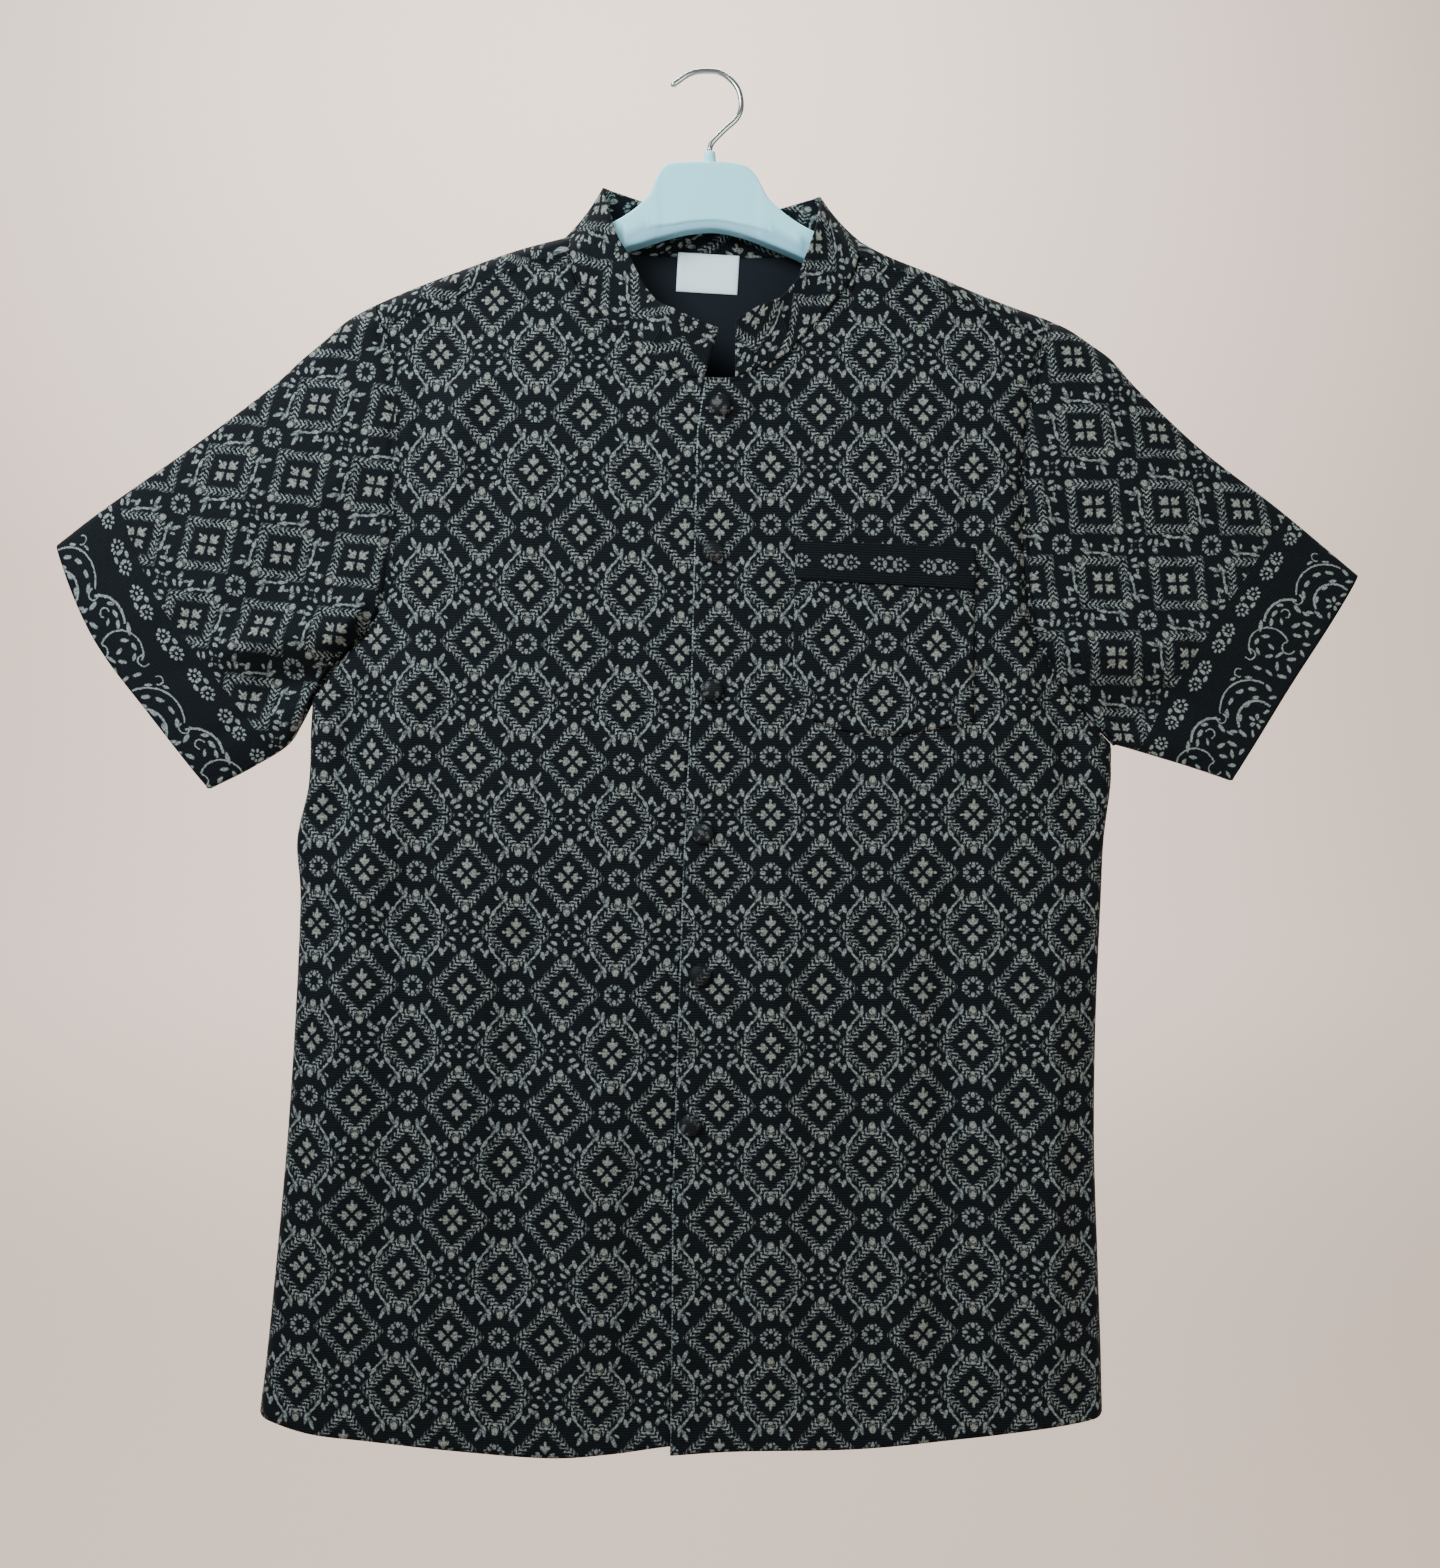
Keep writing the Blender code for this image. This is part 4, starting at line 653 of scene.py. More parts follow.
def sleeve(outline, arm, creases, lay):
    """An open tube from the armhole to the cuff, with columns up the back, over the top and down the front.

    In plan each row goes from the armhole to the cuff, with the lean of the top and under edges. Its section
    is a flattened round, (1 - |2 place - 1|^3.2)^0.5, and the creases are added to its depth.
    """
    between = slice(OVER_STEPS - 1, 0, -1)
    loop = np.vstack([arm.back[::-1], arm.over[between], arm.front])
    out = np.vstack([arm.out_back[::-1], arm.out_over[between], arm.out_front])
    high = 0.05
    down = high + (1 - high) * np.linspace(0, 1, ARM_ROWS + 1)
    turn = np.linspace(1, -1, OVER_STEPS + 1)[1:-1]
    place = np.concatenate([down[::-1], high * np.abs(turn), down])
    facing = np.sign(np.concatenate([np.ones(ARM_ROWS + 1), turn, -np.ones(ARM_ROWS + 1)]).round(6))
    ridge = ARM_ROWS + OVER_STEPS // 2
    spare = UNDERARM_SPARE * smooth_step((place - 0.75) / 0.25)[:, None]
    start = loop + (RIM + GAP / 2 + spare) * out
    step = np.linspace(0, 1, SLEEVE_STEPS + 1)[:, None]
    top, under = along(outline["sleeve_top"], step[:, 0]), along(outline["sleeve_under"], step[:, 0])
    cuff = along(outline["cuff"], place)
    lean_top = top - (1 - step) * top[0] - step * top[-1]
    lean_under = under - (1 - step) * under[0] - step * under[-1]
    plan = ((1 - step)[..., None] * start[None][..., [0, 2]] + step[..., None] * cuff[None]
            + (1 - place)[None, :, None] * lean_top[:, None] + place[None, :, None] * lean_under[:, None])
    round_depth = np.sqrt(np.clip(1 - np.abs(2 * place - 1) ** 3.2, 0, 1))
    least = UNDERARM_DEPTH * (place > 0.5)
    depth = SLEEVE_DEPTH + (CUFF_DEPTH - SLEEVE_DEPTH) * step
    settle = smooth_step(step / 0.3)
    y = (1 - settle) * loop[:, 1] + settle * facing * np.maximum(depth * round_depth, least)
    grid = np.stack([plan[..., 0], y, plan[..., 1]], axis=2)
    grid = np.concatenate([(loop + (GAP / 2 + spare) * out)[None], grid], axis=0)
    chart = sleeve_chart(grid, ridge, outline["cuff"], *lay)
    crease = creases_at(*np.broadcast_arrays(step, place[None]), creases)
    calm = smooth_step(step * SLEEVE_GROWTH[0]) * smooth_step((1 - step) * 4 + 0.3)
    calm = calm * smooth_step((1 - np.abs(2 * place - 1)) * SLEEVE_GROWTH[1])
    from_seam = step * 260
    grid[1:, :, 1] += facing * (crease * calm * np.where(facing < 0, 1.0, 0.7) - seam_pull(from_seam))
    closing = chart[:, -1:] + np.array([5.0, 0.0, 5.0, 0.0])
    return np.concatenate([grid, grid[:, :1]], axis=1), np.concatenate([chart, closing], axis=1)


def sleeve_chart(grid, ridge, cuff, slope, trimmed, bow, crowd):
    """Place in the flat cut, twice: along the print, whose rows slope as given, and along the cuff's edge.

    Each is the length round the tube from its top fold, and the distance from the cuff. The border's length
    is multiplied by crowd, where the cuff's own width is eased in.
    """
    fine = refined(cuff, 24)
    plan = grid[..., [0, 2]]
    outwards = np.sign(fine[0, 0])
    charts = []
    own = math.degrees(math.atan2(fine[0, 1] - fine[-1, 1], abs(fine[-1, 0] - fine[0, 0])))
    for angle in (slope, own):
        side = np.array([-outwards * math.cos(math.radians(angle)), -math.sin(math.radians(angle))])
        inward = np.array([-outwards * math.sin(math.radians(angle)), math.cos(math.radians(angle))])
        place, away = (plan - fine[0]) @ side, (plan - fine[0]) @ inward
        if angle == own:
            away -= np.interp(place, (fine - fine[0]) @ side, (fine - fine[0]) @ inward)
            away += trimmed - bow * (1 - np.clip(place / 95 - 1, -1, 1) ** 2)
        steps = np.hypot(np.diff(place, axis=1), np.diff(grid[..., 1], axis=1))
        run = np.concatenate([np.zeros((len(grid), 1)), np.cumsum(steps, axis=1)], axis=1)
        run += place[:, ridge : ridge + 1] - run[:, ridge : ridge + 1]
        charts += [run * (crowd if angle == own else 1.0), away]
    return np.stack(charts, axis=2)


def collar_band():
    """The standing band, from its seam up to its top edge, with a slight bow and a crease near each end."""
    table = refined(np.hstack([COLLAR_SEAM, COLLAR_EDGE]), COLLAR_FINE)
    place = np.arange(len(table)) / COLLAR_FINE
    seam, edge = table[:, :3], table[:, 3:]
    rise = unit(edge - seam)
    seam = seam + np.interp(seam[:, 1], [-20, -17], COLLAR_STAND)[:, None] * rise
    outwards = unit(np.cross(np.gradient(seam, axis=0), rise))
    shares = np.linspace(0, 1, COLLAR_ROWS + 1)[:, None]
    dent = np.zeros_like(place)
    for at, width, depth in COLLAR_DENTS:
        dent += depth * np.exp(-(((place - at) / width) ** 2))
    bow = COLLAR_BOW * 4 * shares * (1 - shares) - dent * np.sin(math.pi * np.clip(shares * 0.8 + 0.2, 0, 1))
    grid = seam * (1 - shares)[..., None] + edge * shares[..., None] + bow[..., None] * outwards
    length = arc_lengths(grid[COLLAR_ROWS // 2])
    height = np.linalg.norm(edge - seam, axis=1) * shares
    return grid, np.stack([height, np.broadcast_to(length, height.shape)], axis=2)


def depth_at(grid, x, z, reach=5.0):
    """Depth of a panel at places in the plane of the shirt: a plane fitted to its nearest points."""
    points = grid.reshape(-1, 3)
    points = points[~np.isnan(points[:, 0])]
    held = ((points[:, 0] > x.min() - 3 * reach) & (points[:, 0] < x.max() + 3 * reach)
            & (points[:, 2] > z.min() - 3 * reach) & (points[:, 2] < z.max() + 3 * reach))
    points = points[held]
    found = np.empty_like(x)
    for row in range(len(x)):
        dx = points[:, 0] - x[row][:, None]
        dz = points[:, 2] - z[row][:, None]
        weight = np.exp(-(dx**2 + dz**2) / reach**2)
        terms = np.stack([np.ones_like(dx), dx, dz], axis=2)
        left = np.einsum("kn,kni,knj->kij", weight, terms, terms)
        right = np.einsum("kn,kni,n->ki", weight, terms, points[:, 1])
        found[row] = np.linalg.solve(left, right[..., None])[:, 0, 0]
    return found


def pocket_pieces(front):
    """The patch pocket and the band across its top, each from the front's own points, moved out."""
    shares = np.linspace(0, 1, POCKET_STEPS + 1)
    downs = shares[:, None]
    feet = np.interp(shares, np.linspace(0, 1, len(POCKET_FOOT)), POCKET_FOOT)
    tops = POCKET_TOP[0] + (POCKET_TOP[1] - POCKET_TOP[0]) * shares
    drops = POCKET_BAND_DROP[0] + (POCKET_BAND_DROP[1] - POCKET_BAND_DROP[0]) * shares
    z = tops + (feet - tops) * downs
    lefts = POCKET_SIDES["left"][0] + (POCKET_SIDES["left"][1] - POCKET_SIDES["left"][0]) * downs
    rights = POCKET_SIDES["right"][0] + (POCKET_SIDES["right"][1] - POCKET_SIDES["right"][0]) * downs
    x = lefts + (rights - lefts) * shares
    edge = np.minimum(np.minimum(x - lefts, rights - x), z - feet)
    stand = 1.0 + smooth_step(edge / 5)
    stand += 0.8 * smooth_step(1 - (tops - z) / 40) * smooth_step(edge / 30)
    pocket = np.stack([x, depth_at(front, x, z) - stand, z], axis=2)
    band_down = np.linspace(0, 1, BAND_STEPS + 1)[:, None]
    band_x = np.repeat(x[:1], BAND_STEPS + 1, axis=0)
    band_z = tops - drops * band_down
    lift = 0.9 + 0.35 * smooth_step((1 - np.abs(2 * band_down - 1)) * 6)
    band = np.stack([band_x, depth_at(pocket, band_x, band_z, 4.0) - lift, band_z], axis=2)
    middle = (POCKET_SIDES["left"][0] + POCKET_SIDES["right"][0]) / 2
    band_chart = np.stack([band_x - middle, tops - drops / 2 - band_z], axis=2)
    return (pocket, pocket[..., [0, 2]]), (band, band_chart)


def button_dome(place, front):
    """A covered dome: a profile of radius and height turned about the line through its centre."""
    angles = np.linspace(0, math.pi / 2, 14)
    radius, height, brim = BUTTON["radius"], BUTTON["height"], BUTTON["brim"]
    profile = [(radius * math.sin(a), brim + (height - brim) * math.cos(a)) for a in angles]
    profile = np.array(profile + [(radius, 0.7), (radius - 0.5, 0.1), (radius - 2.0, 0.0)])
    profile[0, 0] = 0.02
    turn = np.linspace(0, 2 * math.pi, BUTTON_SIDES + 1)
    near = place[0] + radius * np.array([[0, 1, -1, 0, 0]])
    high = place[1] + radius * np.array([[0, 0, 0, 1, -1]])
    foot = depth_at(front, near, high).min() - CLOTH_WALL / 2 - BUTTON_STAND
    x = place[0] + profile[:, :1] * np.cos(turn)
    z = place[1] + profile[:, :1] * np.sin(turn)
    y = foot - profile[:, 1:] + 0 * x
    return np.stack([x, y, z], axis=2)[:, ::-1], np.stack([x, z], axis=2)[:, ::-1]


def hanger_body():
    """The moulded hanger: rounded sections, (cos, sin) to the power 0.3, along it, with a lower band.

    It also gives how far each point is in the band.
    """
    stations = refined(HANGER, 6)
    angles = np.linspace(0, 2 * math.pi, HANGER_SIDES + 1)
    cos, sin = (np.sign(wave) * np.abs(wave) ** 0.3 for wave in (np.cos(angles), np.sin(angles)))
    half = (stations[:, 1] - stations[:, 2])[:, None] / 2
    middle = (stations[:, 1] + stations[:, 2])[:, None] / 2
    z = middle + sin * half
    band_top = stations[:, 2:3] + np.interp(stations[:, :1], *np.array(STRIP).T)
    low = smooth_step((band_top - z) / 0.8)
    notch = sum(np.exp(-(((stations[:, :1] - at) / 1.6) ** 2)) for at in STRIP_NOTCHES)
    y = cos * (stations[:, 3:] / 2 - low * (1.3 + 0.8 * notch))
    grid = np.stack([stations[:, :1] + 0 * y, y, z], axis=2)
    ends = []
    for ring in (grid[:1], grid[-1:]):
        centre = ring.mean(axis=1, keepdims=True)
        ends.append(centre + (ring - centre) * 0.02)
    whole = np.concatenate([ends[0], grid, ends[1]])
    return whole, np.concatenate([low[:1], low, low[-1:]])


def tube(route, radius, sides=24):
    """A round tube along a route in the X-Z plane, with closed ends."""
    run = unit(np.gradient(route, axis=0))
    beside = np.array([0.0, 1.0, 0.0])
    up = np.cross(run, beside)
    angles = np.linspace(0, 2 * math.pi, sides + 1)[None, :, None]
    radii = np.full(len(route), radius)
    radii[:3], radii[-1] = radius * np.array([0.05, 0.72, 0.96]), radius * 0.05
    ring = np.cos(angles) * beside + np.sin(angles) * up[:, None]
    return route[:, None] + ring * radii[:, None, None]


def hook_socket():
    """The small socket that holds the wire: its profile turned about the wire's line."""
    profile = np.array(SOCKET)
    angles = np.linspace(0, 2 * math.pi, SOCKET_SIDES + 1)
    rings = [SOCKET_PLACE + profile[:, :1] * np.cos(angles), profile[:, :1] * np.sin(angles),
             profile[:, 1:] + 0 * angles]
    return np.stack(rings, axis=2)


def back_lining(back):
    """The back's own points between the strips of the shoulders, moved forward, down to the lining's hem."""
    first = FRONT_COLUMNS - NECK_COLUMNS + 3
    lining = back[OVER_STEPS + 1 :, first:-first]
    lining = lining[lining[..., 2].mean(axis=1) > lining[0, :, 2].mean() - LINING_DROP].copy()
    lining[0, :, 2] -= 1.0
    lining[..., 1] -= LINING_STAND
    return lining


def label_patch(lining):
    """The label's rectangle, turned a little, on the lining's depth and swelling by 0.5 mm in its edge."""
    turn = math.radians(LABEL_TURN)
    wide, high = LABEL_SIZE
    u, v = np.meshgrid(np.linspace(-0.5, 0.5, 41) * wide, np.linspace(0.5, -0.5, 27) * high)
    x = LABEL_CENTRE[0] + u * math.cos(turn) - v * math.sin(turn)
    z = LABEL_CENTRE[1] + u * math.sin(turn) + v * math.cos(turn)
    edge = np.minimum(wide / 2 - np.abs(u), high / 2 - np.abs(v))
    y = depth_at(lining, x, z, 16.0) - 0.9 - 0.5 * smooth_step(edge / 2.5)
    return np.stack([x, y, z], axis=2)


def floor_sweep():
    """A flat floor, a quarter round behind it and a wall, as a profile carried across."""
    height, radius, start = FLOOR["height"], FLOOR["sweep"], FLOOR["from"]
    angles = np.linspace(0.05, math.pi / 2, 24)
    sweep = [(start + radius * math.sin(a), height + radius - radius * math.cos(a)) for a in angles]
    sweep = np.array([(-5.0, height), (start, height), *sweep, (start + radius, FLOOR["top"])]) / MM
    sides = np.linspace(-FLOOR["half_width"], FLOOR["half_width"], 3) / MM
    return np.stack(np.broadcast_arrays(sides[None], sweep[:, :1], sweep[:, 1:]), axis=2)


def linear(code):
    """A colour's sRGB hex code turned to linear red, green, blue and alpha."""
    parts = [int(code[start : start + 2], 16) / 255 for start in (1, 3, 5)]
    turned = [part / 12.92 if part <= 0.04045 else ((part + 0.055) / 1.055) ** 2.4 for part in parts]
    return (*turned, 1.0)


def add(tree, kind, *values, output=None, **settings):
    """Adds a node and gives its output, or all of them where it has more in use.

    The kind is the node's type, and after it the operation of a maths node. The values fill the inputs in
    use in their order: a socket is linked, None leaves an input as it is, and anything else is set.
    """
    kind, *operation = kind.split()
    made = tree.nodes.new("ShaderNode" + kind)
    if operation:
        made.operation = operation[0]
    for name, setting in settings.items():
        setattr(made, name, setting)
    for socket, value in zip([held for held in made.inputs if held.enabled], values):
        if isinstance(value, bpy.types.NodeSocket):
            tree.links.new(value, socket)
        elif value is not None:
            socket.default_value = value
    outputs = [held for held in made.outputs if held.enabled]
    if output:
        return made.outputs[output]
    return outputs[0] if len(outputs) == 1 else outputs


def strokes(tree, place, table):
    """Nearest of the strokes, where each is an ellipse and is 1 on its outline."""
    nearest = None
    for x, y, angle, length, width in table:
        size = (length / 2, width / 2, 1)
        turn = (0, 0, math.radians(angle))
        local = add(tree, "Mapping", place, (x, y, 0), turn, size, vector_type="TEXTURE")
        found = add(tree, "VectorMath LENGTH", local)
        nearest = found if nearest is None else add(tree, "Math MINIMUM", nearest, found)
    return nearest


def with_arcs(tree, place, table, nearest):
    """Nearer of a value and the arcs: half a width off an arc, or past its end, is 1."""
    for x, y, radius, width, middle, half in table:
        size = (width / 2, width / 2, 1)
        turn = (0, 0, math.radians(middle))
        local = add(tree, "Mapping", place, (x, y, 0), turn, size, vector_type="TEXTURE")
        bend = 2 * radius / width
        local_x, local_y, _ = add(tree, "SeparateXYZ", local)
        reach = add(tree, "VectorMath LENGTH", local)
        off = add(tree, "Math ABSOLUTE", add(tree, "Math SUBTRACT", reach, bend))
        turned = add(tree, "Math ABSOLUTE", add(tree, "Math ARCTAN2", local_y, local_x))
        past = add(tree, "Math SUBTRACT", turned, math.radians(half))
        past = add(tree, "Math MULTIPLY_ADD", past, bend, 1.0)
        nearest = add(tree, "Math MINIMUM", nearest, add(tree, "Math MAXIMUM", off, past))
    return nearest


def inked(tree, nearest):
    """1 inside a stroke and 0 outside it, with a soft edge."""
    return add(tree, "MapRange", nearest, 1 + STROKE_SOFT, 1 - STROKE_SOFT, interpolation_type="SMOOTHSTEP")


def new_group(name, outputs):
    """A node group with one vector input, in millimetres of the cloth, and the named values as outputs."""
    tree = bpy.data.node_groups.new(name, "ShaderNodeTree")
    tree.interface.new_socket("Place", in_out="INPUT", socket_type="NodeSocketVector")
    for output in outputs:
        tree.interface.new_socket(output, in_out="OUTPUT", socket_type="NodeSocketFloat")
    start = tree.nodes.new("NodeGroupInput")
    end = tree.nodes.new("NodeGroupOutput")
    return tree, start.outputs[0], end


def print_group():
    """The diamond print: the place is folded into a quarter cell, and there into the nearer diamond.

    The ring's leaves are sin(2 pi (run + slant * distance from the spine) / pitch) along the diamond's side,
    and noise breaks the strokes into flecks.
    """
    tree, place, end = new_group("diamond_print", ["Ink", "Bloom"])
    half = (CELL[0] / 2, CELL[1] / 2)
    x, y, _ = add(tree, "SeparateXYZ", place)
    x = add(tree, "Math PINGPONG", x, half[0])
    y = add(tree, "Math PINGPONG", y, half[1])
    folded = add(tree, "CombineXYZ", x, y)
    share = add(tree, "Math ADD", add(tree, "Math DIVIDE", x, half[0]), add(tree, "Math DIVIDE", y, half[1]))
    far = add(tree, "Math GREATER_THAN", share, 1.0)
    keep = add(tree, "Math MULTIPLY_ADD", far, -2.0, 1.0)
    # x and y are turned one by one: numbers turned to vectors here make the sleeves' shader too big
    near_x = add(tree, "Math MULTIPLY_ADD", x, keep, add(tree, "Math MULTIPLY", far, half[0]))
    near_y = add(tree, "Math MULTIPLY_ADD", y, keep, add(tree, "Math MULTIPLY", far, half[1]))
    near = add(tree, "CombineXYZ", near_x, near_y)
    side = add(tree, "Mapping", near, (0, 0, 0), (0, 0, math.radians(FLECK_TURN)), vector_type="TEXTURE")
    grain = add(tree, "VectorMath MULTIPLY", side, (1 / FLECK_LONG, 1 / FLECK_WIDE, 1))
    grain = add(tree, "TexNoise", grain, 1.0, FLECK_DETAIL)[0]
    flecks = add(tree, "MapRange", grain, *FLECK_FADE)
    run, off, _ = add(tree, "SeparateXYZ", side)
    from_spine = add(tree, "Math ABSOLUTE", add(tree, "Math SUBTRACT", off, LEAF_SPINE))
    leaves = add(tree, "Math MULTIPLY_ADD", from_spine, LEAF_SLANT, run)
    leaves = add(tree, "Math MULTIPLY", leaves, 2 * math.pi / LEAF_PITCH)
    leaves = add(tree, "Math SINE", add(tree, "Math MULTIPLY_ADD", grain, LEAF_STRAY, leaves))
    leaves = add(tree, "MapRange", leaves, *LEAF_FADE)
    parts = {}
    for part, spot, table in (("bloom", near, BLOOM), ("ring", near, RING), ("field", folded, FIELD)):
        broken = add(tree, "Math MULTIPLY_ADD", flecks, FLECKED[part], 1 - FLECKED[part])
        parts[part] = add(tree, "Math MULTIPLY", inked(tree, strokes(tree, spot, table)), broken)
    ring = add(tree, "Math MULTIPLY", parts["ring"], leaves)
    ink = add(tree, "Math MAXIMUM", parts["bloom"], add(tree, "Math MAXIMUM", ring, parts["field"]))
    tree.links.new(ink, end.inputs["Ink"])
    tree.links.new(parts["bloom"], end.inputs["Bloom"])
    return tree


def band_group():
    """The bands' motif, the same when mirrored at either end of its half pitch and across the band."""
    tree, place, end = new_group("band_print", ["Ink"])
    x, y, _ = add(tree, "SeparateXYZ", place)
    x = add(tree, "Math PINGPONG", x, BAND_PITCH / 2)
    folded = add(tree, "CombineXYZ", x, add(tree, "Math ABSOLUTE", y))
    tree.links.new(inked(tree, strokes(tree, folded, BAND_DOTS)), end.inputs["Ink"])
    return tree


def vine_group():
    """The vine of the cuffs, which starts again after each pitch."""
    tree, place, end = new_group("vine_print", ["Ink"])
    x, y, _ = add(tree, "SeparateXYZ", place)
    folded = add(tree, "CombineXYZ", add(tree, "Math FLOORED_MODULO", x, VINE_PITCH), y)
    nearest = with_arcs(tree, folded, STEMS, strokes(tree, folded, VINE))
    tree.links.new(inked(tree, nearest), end.inputs["Ink"])
    return tree


def cloth_place(tree, anchor=(0, 0), turn=0.0, chart="chart"):
    """Place on the cloth in millimetres from a diamond's centre, and the same unsteady, as ink runs."""
    flat = add(tree, "UVMap", uv_map=chart)
    place = add(tree, "Mapping", flat, (anchor[0] * MM, anchor[1] * MM, 0), (0, 0, math.radians(turn)),
                (MM, MM, 1), vector_type="TEXTURE")
    wander = add(tree, "TexNoise", place, WANDER_SCALE, 1.0)[1]
    wander = add(tree, "VectorMath SUBTRACT", wander, (0.5, 0.5, 0.5))
    wander = add(tree, "VectorMath MULTIPLY", wander, (WANDER, WANDER, 0))
    return place, add(tree, "VectorMath ADD", place, wander)


def with_border(tree, ink, bloom):
    """The print of a sleeve, ended above the cuff, with the band's motifs and the vine below it."""
    x, from_cuff, _ = add(tree, "SeparateXYZ", cloth_place(tree, chart="border")[1])
    in_field = add(tree, "Math GREATER_THAN", from_cuff, FIELD_START)
    in_vine = add(tree, "Math LESS_THAN", from_cuff, VINE_HEIGHT)
    from_band = add(tree, "Math SUBTRACT", from_cuff, BAND_CENTRE)
    band = add(tree, "Group", add(tree, "CombineXYZ", x, from_band), node_tree=GROUPS["band"])
    vine = add(tree, "Group", add(tree, "CombineXYZ", x, from_cuff), node_tree=GROUPS["vine"])
    border = add(tree, "Math MAXIMUM", band, add(tree, "Math MULTIPLY", vine, in_vine))
    ink = add(tree, "Math MAXIMUM", add(tree, "Math MULTIPLY", ink, in_field), border)
    return ink, add(tree, "Math MULTIPLY", bloom, in_field)


def with_closing_line(tree, colour, cloud):
    """A stitched pale line along the closing's edge, with a painted highlight that shows only in places."""
    from_edge, down, _ = add(tree, "SeparateXYZ", cloth_place(tree, chart="border")[0])
    dash = add(tree, "Math PINGPONG", down, EDGE_STITCH / 2)
    dash = add(tree, "Math GREATER_THAN", dash, EDGE_STITCH / 6)
    line = add(tree, "Math MULTIPLY", add(tree, "Math LESS_THAN", from_edge, EDGE_LINE), dash)
    # The painted highlight on the stitches shows only where the cloud noise lets it
    line = add(tree, "Math MULTIPLY", line, add(tree, "MapRange", cloud, *EDGE_HIGHLIGHT_FADE))
    return add(tree, "Mix", line, colour, linear(EDGE_THREAD_HIGHLIGHT), data_type="RGBA")


def new_material(name, code, settings):
    """A material of one colour, with the other settings of its shader by their names."""
    material = bpy.data.materials.new(name)
    material.use_nodes = True
    shader = material.node_tree.nodes["Principled BSDF"]
    shader.inputs["Base Color"].default_value = linear(code)
    for socket, value in settings.items():
        shader.inputs[socket].default_value = value
    return material


def link_to_shader(material, **sockets):
    """Links sockets to the shader's inputs: colour to its base colour, and normal to its normal."""
    inputs = material.node_tree.nodes["Principled BSDF"].inputs
    for name, socket in sockets.items():
        material.node_tree.links.new(socket, inputs[{"colour": "Base Color", "normal": "Normal"}[name]])


def cloth_material(name, anchor=(0, 0), turn=0.0, kind="field"):
    """Dark viscose crepe, woven with fine ribs and printed in pale ink.

    The eye sees a dull cloth, with ribs and yarns that show only in the ground, and a print that is uneven
    where the yarns took less of it. The ribs are drawn about twice as wide as real ones, so that they show.
    """
    material = new_material(name, GROUND_DARK, BUTTON_SHADER if kind == "button" else CLOTH_SHADER)
    tree = material.node_tree
    place, unsteady = cloth_place(tree, anchor, turn)
    if kind == "band":
        ink, bloom = add(tree, "Group", unsteady, node_tree=GROUPS["band"]), 0.0
    else:
        ink, bloom = add(tree, "Group", unsteady, node_tree=GROUPS["print"])
    if kind == "sleeve":
        ink, bloom = with_border(tree, ink, bloom)
    rib = add(tree, "Math MULTIPLY", add(tree, "SeparateXYZ", place)[1], 2 * math.pi / RIB_PITCH)
    rib = add(tree, "MapRange", add(tree, "Math SINE", rib), -1.0, 1.0, 0.0, RIB_SHADE)
    cloud = add(tree, "TexNoise", place, CLOUD_SCALE, 3.0)[0]
    yarn = add(tree, "TexNoise", add(tree, "VectorMath MULTIPLY", place, YARN_STRETCH), YARN_SCALE)[0]
    wear = add(tree, "TexNoise", place, WEAR_SCALE, 1.5)[0]
    light = add(tree, "Math MULTIPLY", rib, yarn)
    ground = add(tree, "Mix", light, linear(GROUND_DARK), linear(GROUND_LIGHT), data_type="RGBA")
    tint = add(tree, "Mix", cloud, linear(INK_COOL), linear(INK_WARM), data_type="RGBA")
    tint = add(tree, "Mix", add(tree, "Math MULTIPLY", bloom, BLOOM_TINT), tint, linear(INK_BLOOM),
               data_type="RGBA")
    strength = add(tree, "Math MULTIPLY", add(tree, "MapRange", yarn, *YARN_FADE),
                   add(tree, "MapRange", wear, *WEAR_FADE))
    if kind in FAINT:
        strength = add(tree, "Math MULTIPLY", strength, FAINT[kind])
    strength = add(tree, "Math MULTIPLY", ink, strength)
    colour = add(tree, "Mix", strength, ground, tint, data_type="RGBA")
    if kind == "closing":
        colour = with_closing_line(tree, colour, cloud)
    height = add(tree, "Math ADD", add(tree, "Math MULTIPLY", rib, RIB_RISE), yarn)
    normal = add(tree, "Bump", BUMP_STRENGTH, BUMP_DISTANCE, None, height)
    link_to_shader(material, colour=colour, normal=normal)
    return material


def moulded_plastic():
    """Moulded polypropylene: an even, milky shine, with painted shade that makes it a little greyer in the
    hanger's recessed lower band.
    """
    material = new_material("moulded_plastic", PLASTIC, {"Roughness": 0.36, "Specular IOR Level": 0.35})
    tree = material.node_tree
    low = add(tree, "Attribute", attribute_name="low", output="Fac")
    # Painted shade: greyer plastic in the recessed lower band
    colour = add(tree, "Mix", low, linear(PLASTIC), linear(PLASTIC_SHADED), data_type="RGBA")
    link_to_shader(material, colour=colour)
    return material


def pale_paint():
    """Matt wall paint, with painted shade that makes it a little darker on the floor than on the wall."""
    material = new_material("pale_paint", WALL_PAINT, {"Roughness": 0.85})
    tree = material.node_tree
    height = add(tree, "SeparateXYZ", add(tree, "TexCoord", output="Object"))[2]
    share = add(tree, "MapRange", height, *SHADE_HEIGHTS, interpolation_type="SMOOTHSTEP")
    # Painted shade: the paint darkens from the wall down to the floor
    colour = add(tree, "Mix", share, linear(FLOOR_SHADED_PAINT), linear(WALL_PAINT), data_type="RGBA")
    link_to_shader(material, colour=colour)
    return material


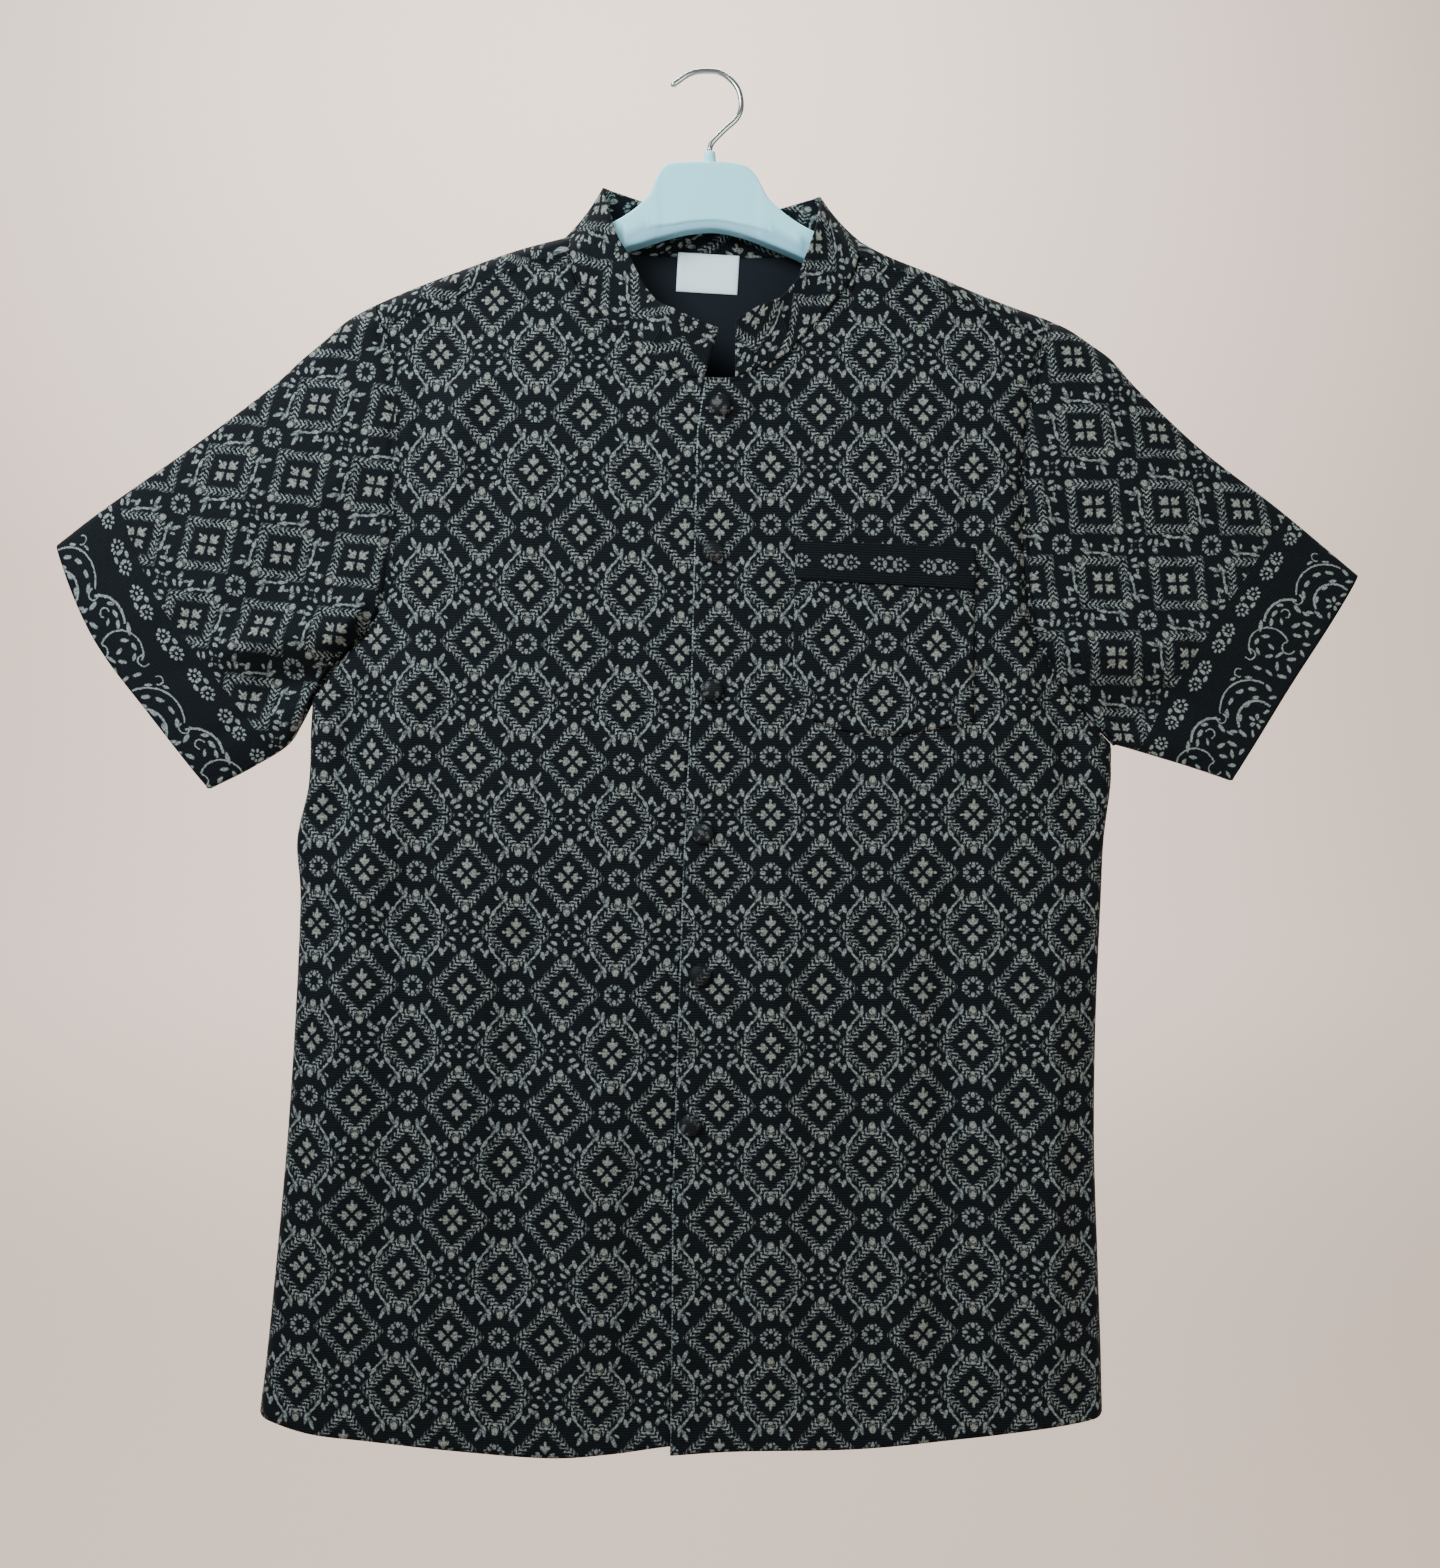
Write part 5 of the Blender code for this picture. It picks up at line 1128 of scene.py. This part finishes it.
def surface(name, grid, material, chart=None, wall=0.0, values=None):
    """Mesh of a grid of points in millimetres, with its chart as a UV map in metres and a Solidify wall."""
    rows, columns, _ = grid.shape
    index = np.arange(rows * columns).reshape(rows, columns)
    quads = np.stack([index[:-1, :-1], index[:-1, 1:], index[1:, 1:], index[1:, :-1]], axis=-1)
    quads = quads.reshape(-1, 4)
    flat = grid.reshape(-1, 3)
    quads = quads[~np.isnan(flat[quads]).any(axis=(1, 2))]
    used, corners = np.unique(quads, return_inverse=True)
    mesh = bpy.data.meshes.new(name)
    mesh.from_pydata((flat[used] * MM).tolist(), [], corners.reshape(-1, 4).tolist())
    mesh.shade_smooth()
    if chart is not None:
        for number in range(chart.shape[2] // 2):
            layer = mesh.uv_layers.new(name=("chart", "border")[number])
            places = chart[..., 2 * number : 2 * number + 2].reshape(-1, 2)[used][corners.ravel()]
            layer.data.foreach_set("uv", (places * MM).ravel())
    if values is not None:
        mesh.attributes.new("low", "FLOAT", "POINT").data.foreach_set("value", values.ravel()[used])
    mesh.materials.append(material)
    shown = bpy.data.objects.new(name, mesh)
    bpy.context.scene.collection.objects.link(shown)
    if wall:
        solidify = shown.modifiers.new("wall", "SOLIDIFY")
        solidify.thickness = wall * MM
        solidify.offset = 0.0
    return shown


def place_on_frame(shown, slot, *nodes):
    """Hands a piece to the frame: its body and the nodes it stands for. The material's slot is not used."""
    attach(shown, "root")
    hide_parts(*nodes)
    return shown


def add_light(name, place, towards, size, power, code):
    """A soft rectangular lamp, aimed at a point."""
    lamp = bpy.data.lights.new(name, "AREA")
    lamp.shape = "RECTANGLE"
    lamp.size, lamp.size_y = size
    lamp.energy = power
    lamp.color = linear(code)[:3]
    holder = bpy.data.objects.new(name, lamp)
    holder.location = place
    aim = Vector(towards) - Vector(place)
    holder.rotation_euler = aim.to_track_quat("-Z", "Y").to_euler()
    bpy.context.scene.collection.objects.link(holder)


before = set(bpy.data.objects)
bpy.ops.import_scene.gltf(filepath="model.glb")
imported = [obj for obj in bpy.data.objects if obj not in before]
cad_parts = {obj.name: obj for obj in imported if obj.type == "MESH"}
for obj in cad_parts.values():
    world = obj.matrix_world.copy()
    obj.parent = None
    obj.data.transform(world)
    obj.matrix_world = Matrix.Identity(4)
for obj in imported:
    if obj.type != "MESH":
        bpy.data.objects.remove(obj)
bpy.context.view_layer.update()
GROUPS = {"print": print_group(), "band": band_group(), "vine": vine_group()}

arms = (Armhole(RIGHT, (-1, 0, 0)), Armhole(LEFT, (1, 0, 0)))
right, right_chart = front_panel(RIGHT, NECK_RIGHT, arms[0], UNDERLAP, -CLOSING_LIFT)
left, left_chart = front_panel(LEFT, NECK_LEFT, arms[1], 0.0, CLOSING_LIFT)
back, back_chart = back_panel(arms)

# Printed viscose crepe, one material a piece so that each cut lies on the print in its own place: the
# place of a diamond's centre on the piece's chart, the turn of the print, and the kind of piece
cloth = {
    "front_right": cloth_material("viscose_front_right", (-29.6, -669.3), -2.3),
    "front_left": cloth_material("viscose_front_left", (7.4, -590.4), 0.0, "closing"),
    "back": cloth_material("viscose_back", (0.0, -600.0)),
    "sleeve_right": cloth_material("viscose_sleeve_right", (60.3, 83.1), 0.0, "sleeve"),
    "sleeve_left": cloth_material("viscose_sleeve_left", (85.7, 86.1), 0.0, "sleeve"),
    "collar": cloth_material("viscose_collar", (1.0, 20.0)),
    "pocket": cloth_material("viscose_pocket", (80.3, -370.0), -3.0),
    "pocket_band": cloth_material("viscose_pocket_band", (2.3, 0.0), 0.0, "band"),
    "buttons": cloth_material("viscose_buttons", (6.0, -226.0), 0.0, "button"),
}
shapes = {
    "front_right": (right, right_chart), "front_left": (left, left_chart), "back": (back, back_chart),
    "sleeve_right": sleeve(RIGHT, arms[0], RIGHT_SLEEVE_CREASES, RIGHT_SLEEVE_LAY),
    "sleeve_left": sleeve(LEFT, arms[1], LEFT_SLEEVE_CREASES, LEFT_SLEEVE_LAY),
    "collar": collar_band(),
}
shapes["pocket"], shapes["pocket_band"] = pocket_pieces(left)
shown = {}
for name, (grid, chart) in shapes.items():
    wall = COLLAR_WALL if name == "collar" else CLOTH_WALL
    shown[name] = surface(f"looks_{name}", grid, cloth[name], chart, wall)
    place_on_frame(shown[name], "border_cloth" if name == "pocket_band" else "printed_cloth", name)
for number, place in enumerate(BUTTONS, start=1):
    grid, chart = button_dome(place, left)
    dome = surface(f"looks_button_{number}", grid, cloth["buttons"], chart)
    place_on_frame(dome, "printed_cloth", f"button_{number}")

# Plain woven lining of the back: dull and nearly black
black_lining = new_material("black_lining", LINING_BLACK, {"Roughness": 0.8, "Specular IOR Level": 0.1})
lining = back_lining(back)
shown["lining"] = surface("looks_back_lining", lining, black_lining, lining[..., [0, 2]], CLOTH_WALL)
place_on_frame(shown["lining"], "lining", "back_lining")
# Woven satin label: white, with a low shine
white_satin = new_material("white_satin", LABEL_WHITE, {"Roughness": 0.42})
grid = label_patch(lining)
shown["label"] = surface("looks_label", grid, white_satin, grid[..., [0, 2]], LABEL_WALL)
place_on_frame(shown["label"], "label", "label")

plastic = moulded_plastic()
grid, low = hanger_body()
place_on_frame(surface("looks_hanger", grid, plastic, values=low), "hanger_plastic", "hanger")
# Steel wire with a bright plated surface: small sharp highlights along the hook
steel = new_material("plated_steel", STEEL, {"Roughness": 0.22, "Metallic": 1.0})
route = along(with_y(HOOK, 0.0), np.linspace(0, 1, HOOK_STEPS))
place_on_frame(surface("looks_hanger_hook", tube(route, WIRE / 2), steel), "hook_wire", "hanger_hook")
grid = hook_socket()
socket = surface("looks_hook_socket", grid, plastic, values=np.zeros(grid.shape[:2]))
place_on_frame(socket, "hanger_plastic", "hook_socket")

# Plain pale floor that sweeps up behind, far from the shirt
floor = surface("floor", floor_sweep(), pale_paint())
for row in LIGHTS:
    add_light(*row)
world = bpy.data.worlds.new("pale_room")
world.use_nodes = True
world.node_tree.nodes["Background"].inputs[0].default_value = linear(ROOM_LIGHT)
world.node_tree.nodes["Background"].inputs[1].default_value = ROOM_POWER
bpy.context.scene.world = world

lens_data = bpy.data.cameras.new("camera")
lens_data.sensor_width = SENSOR
lens_data.lens = SENSOR * -CAMERA[1] / VIEW_HEIGHT
camera = bpy.data.objects.new("camera", lens_data)
camera.location = CAMERA
camera.rotation_euler = (math.pi / 2, 0, 0)
bpy.context.scene.collection.objects.link(camera)
bpy.context.scene.camera = camera
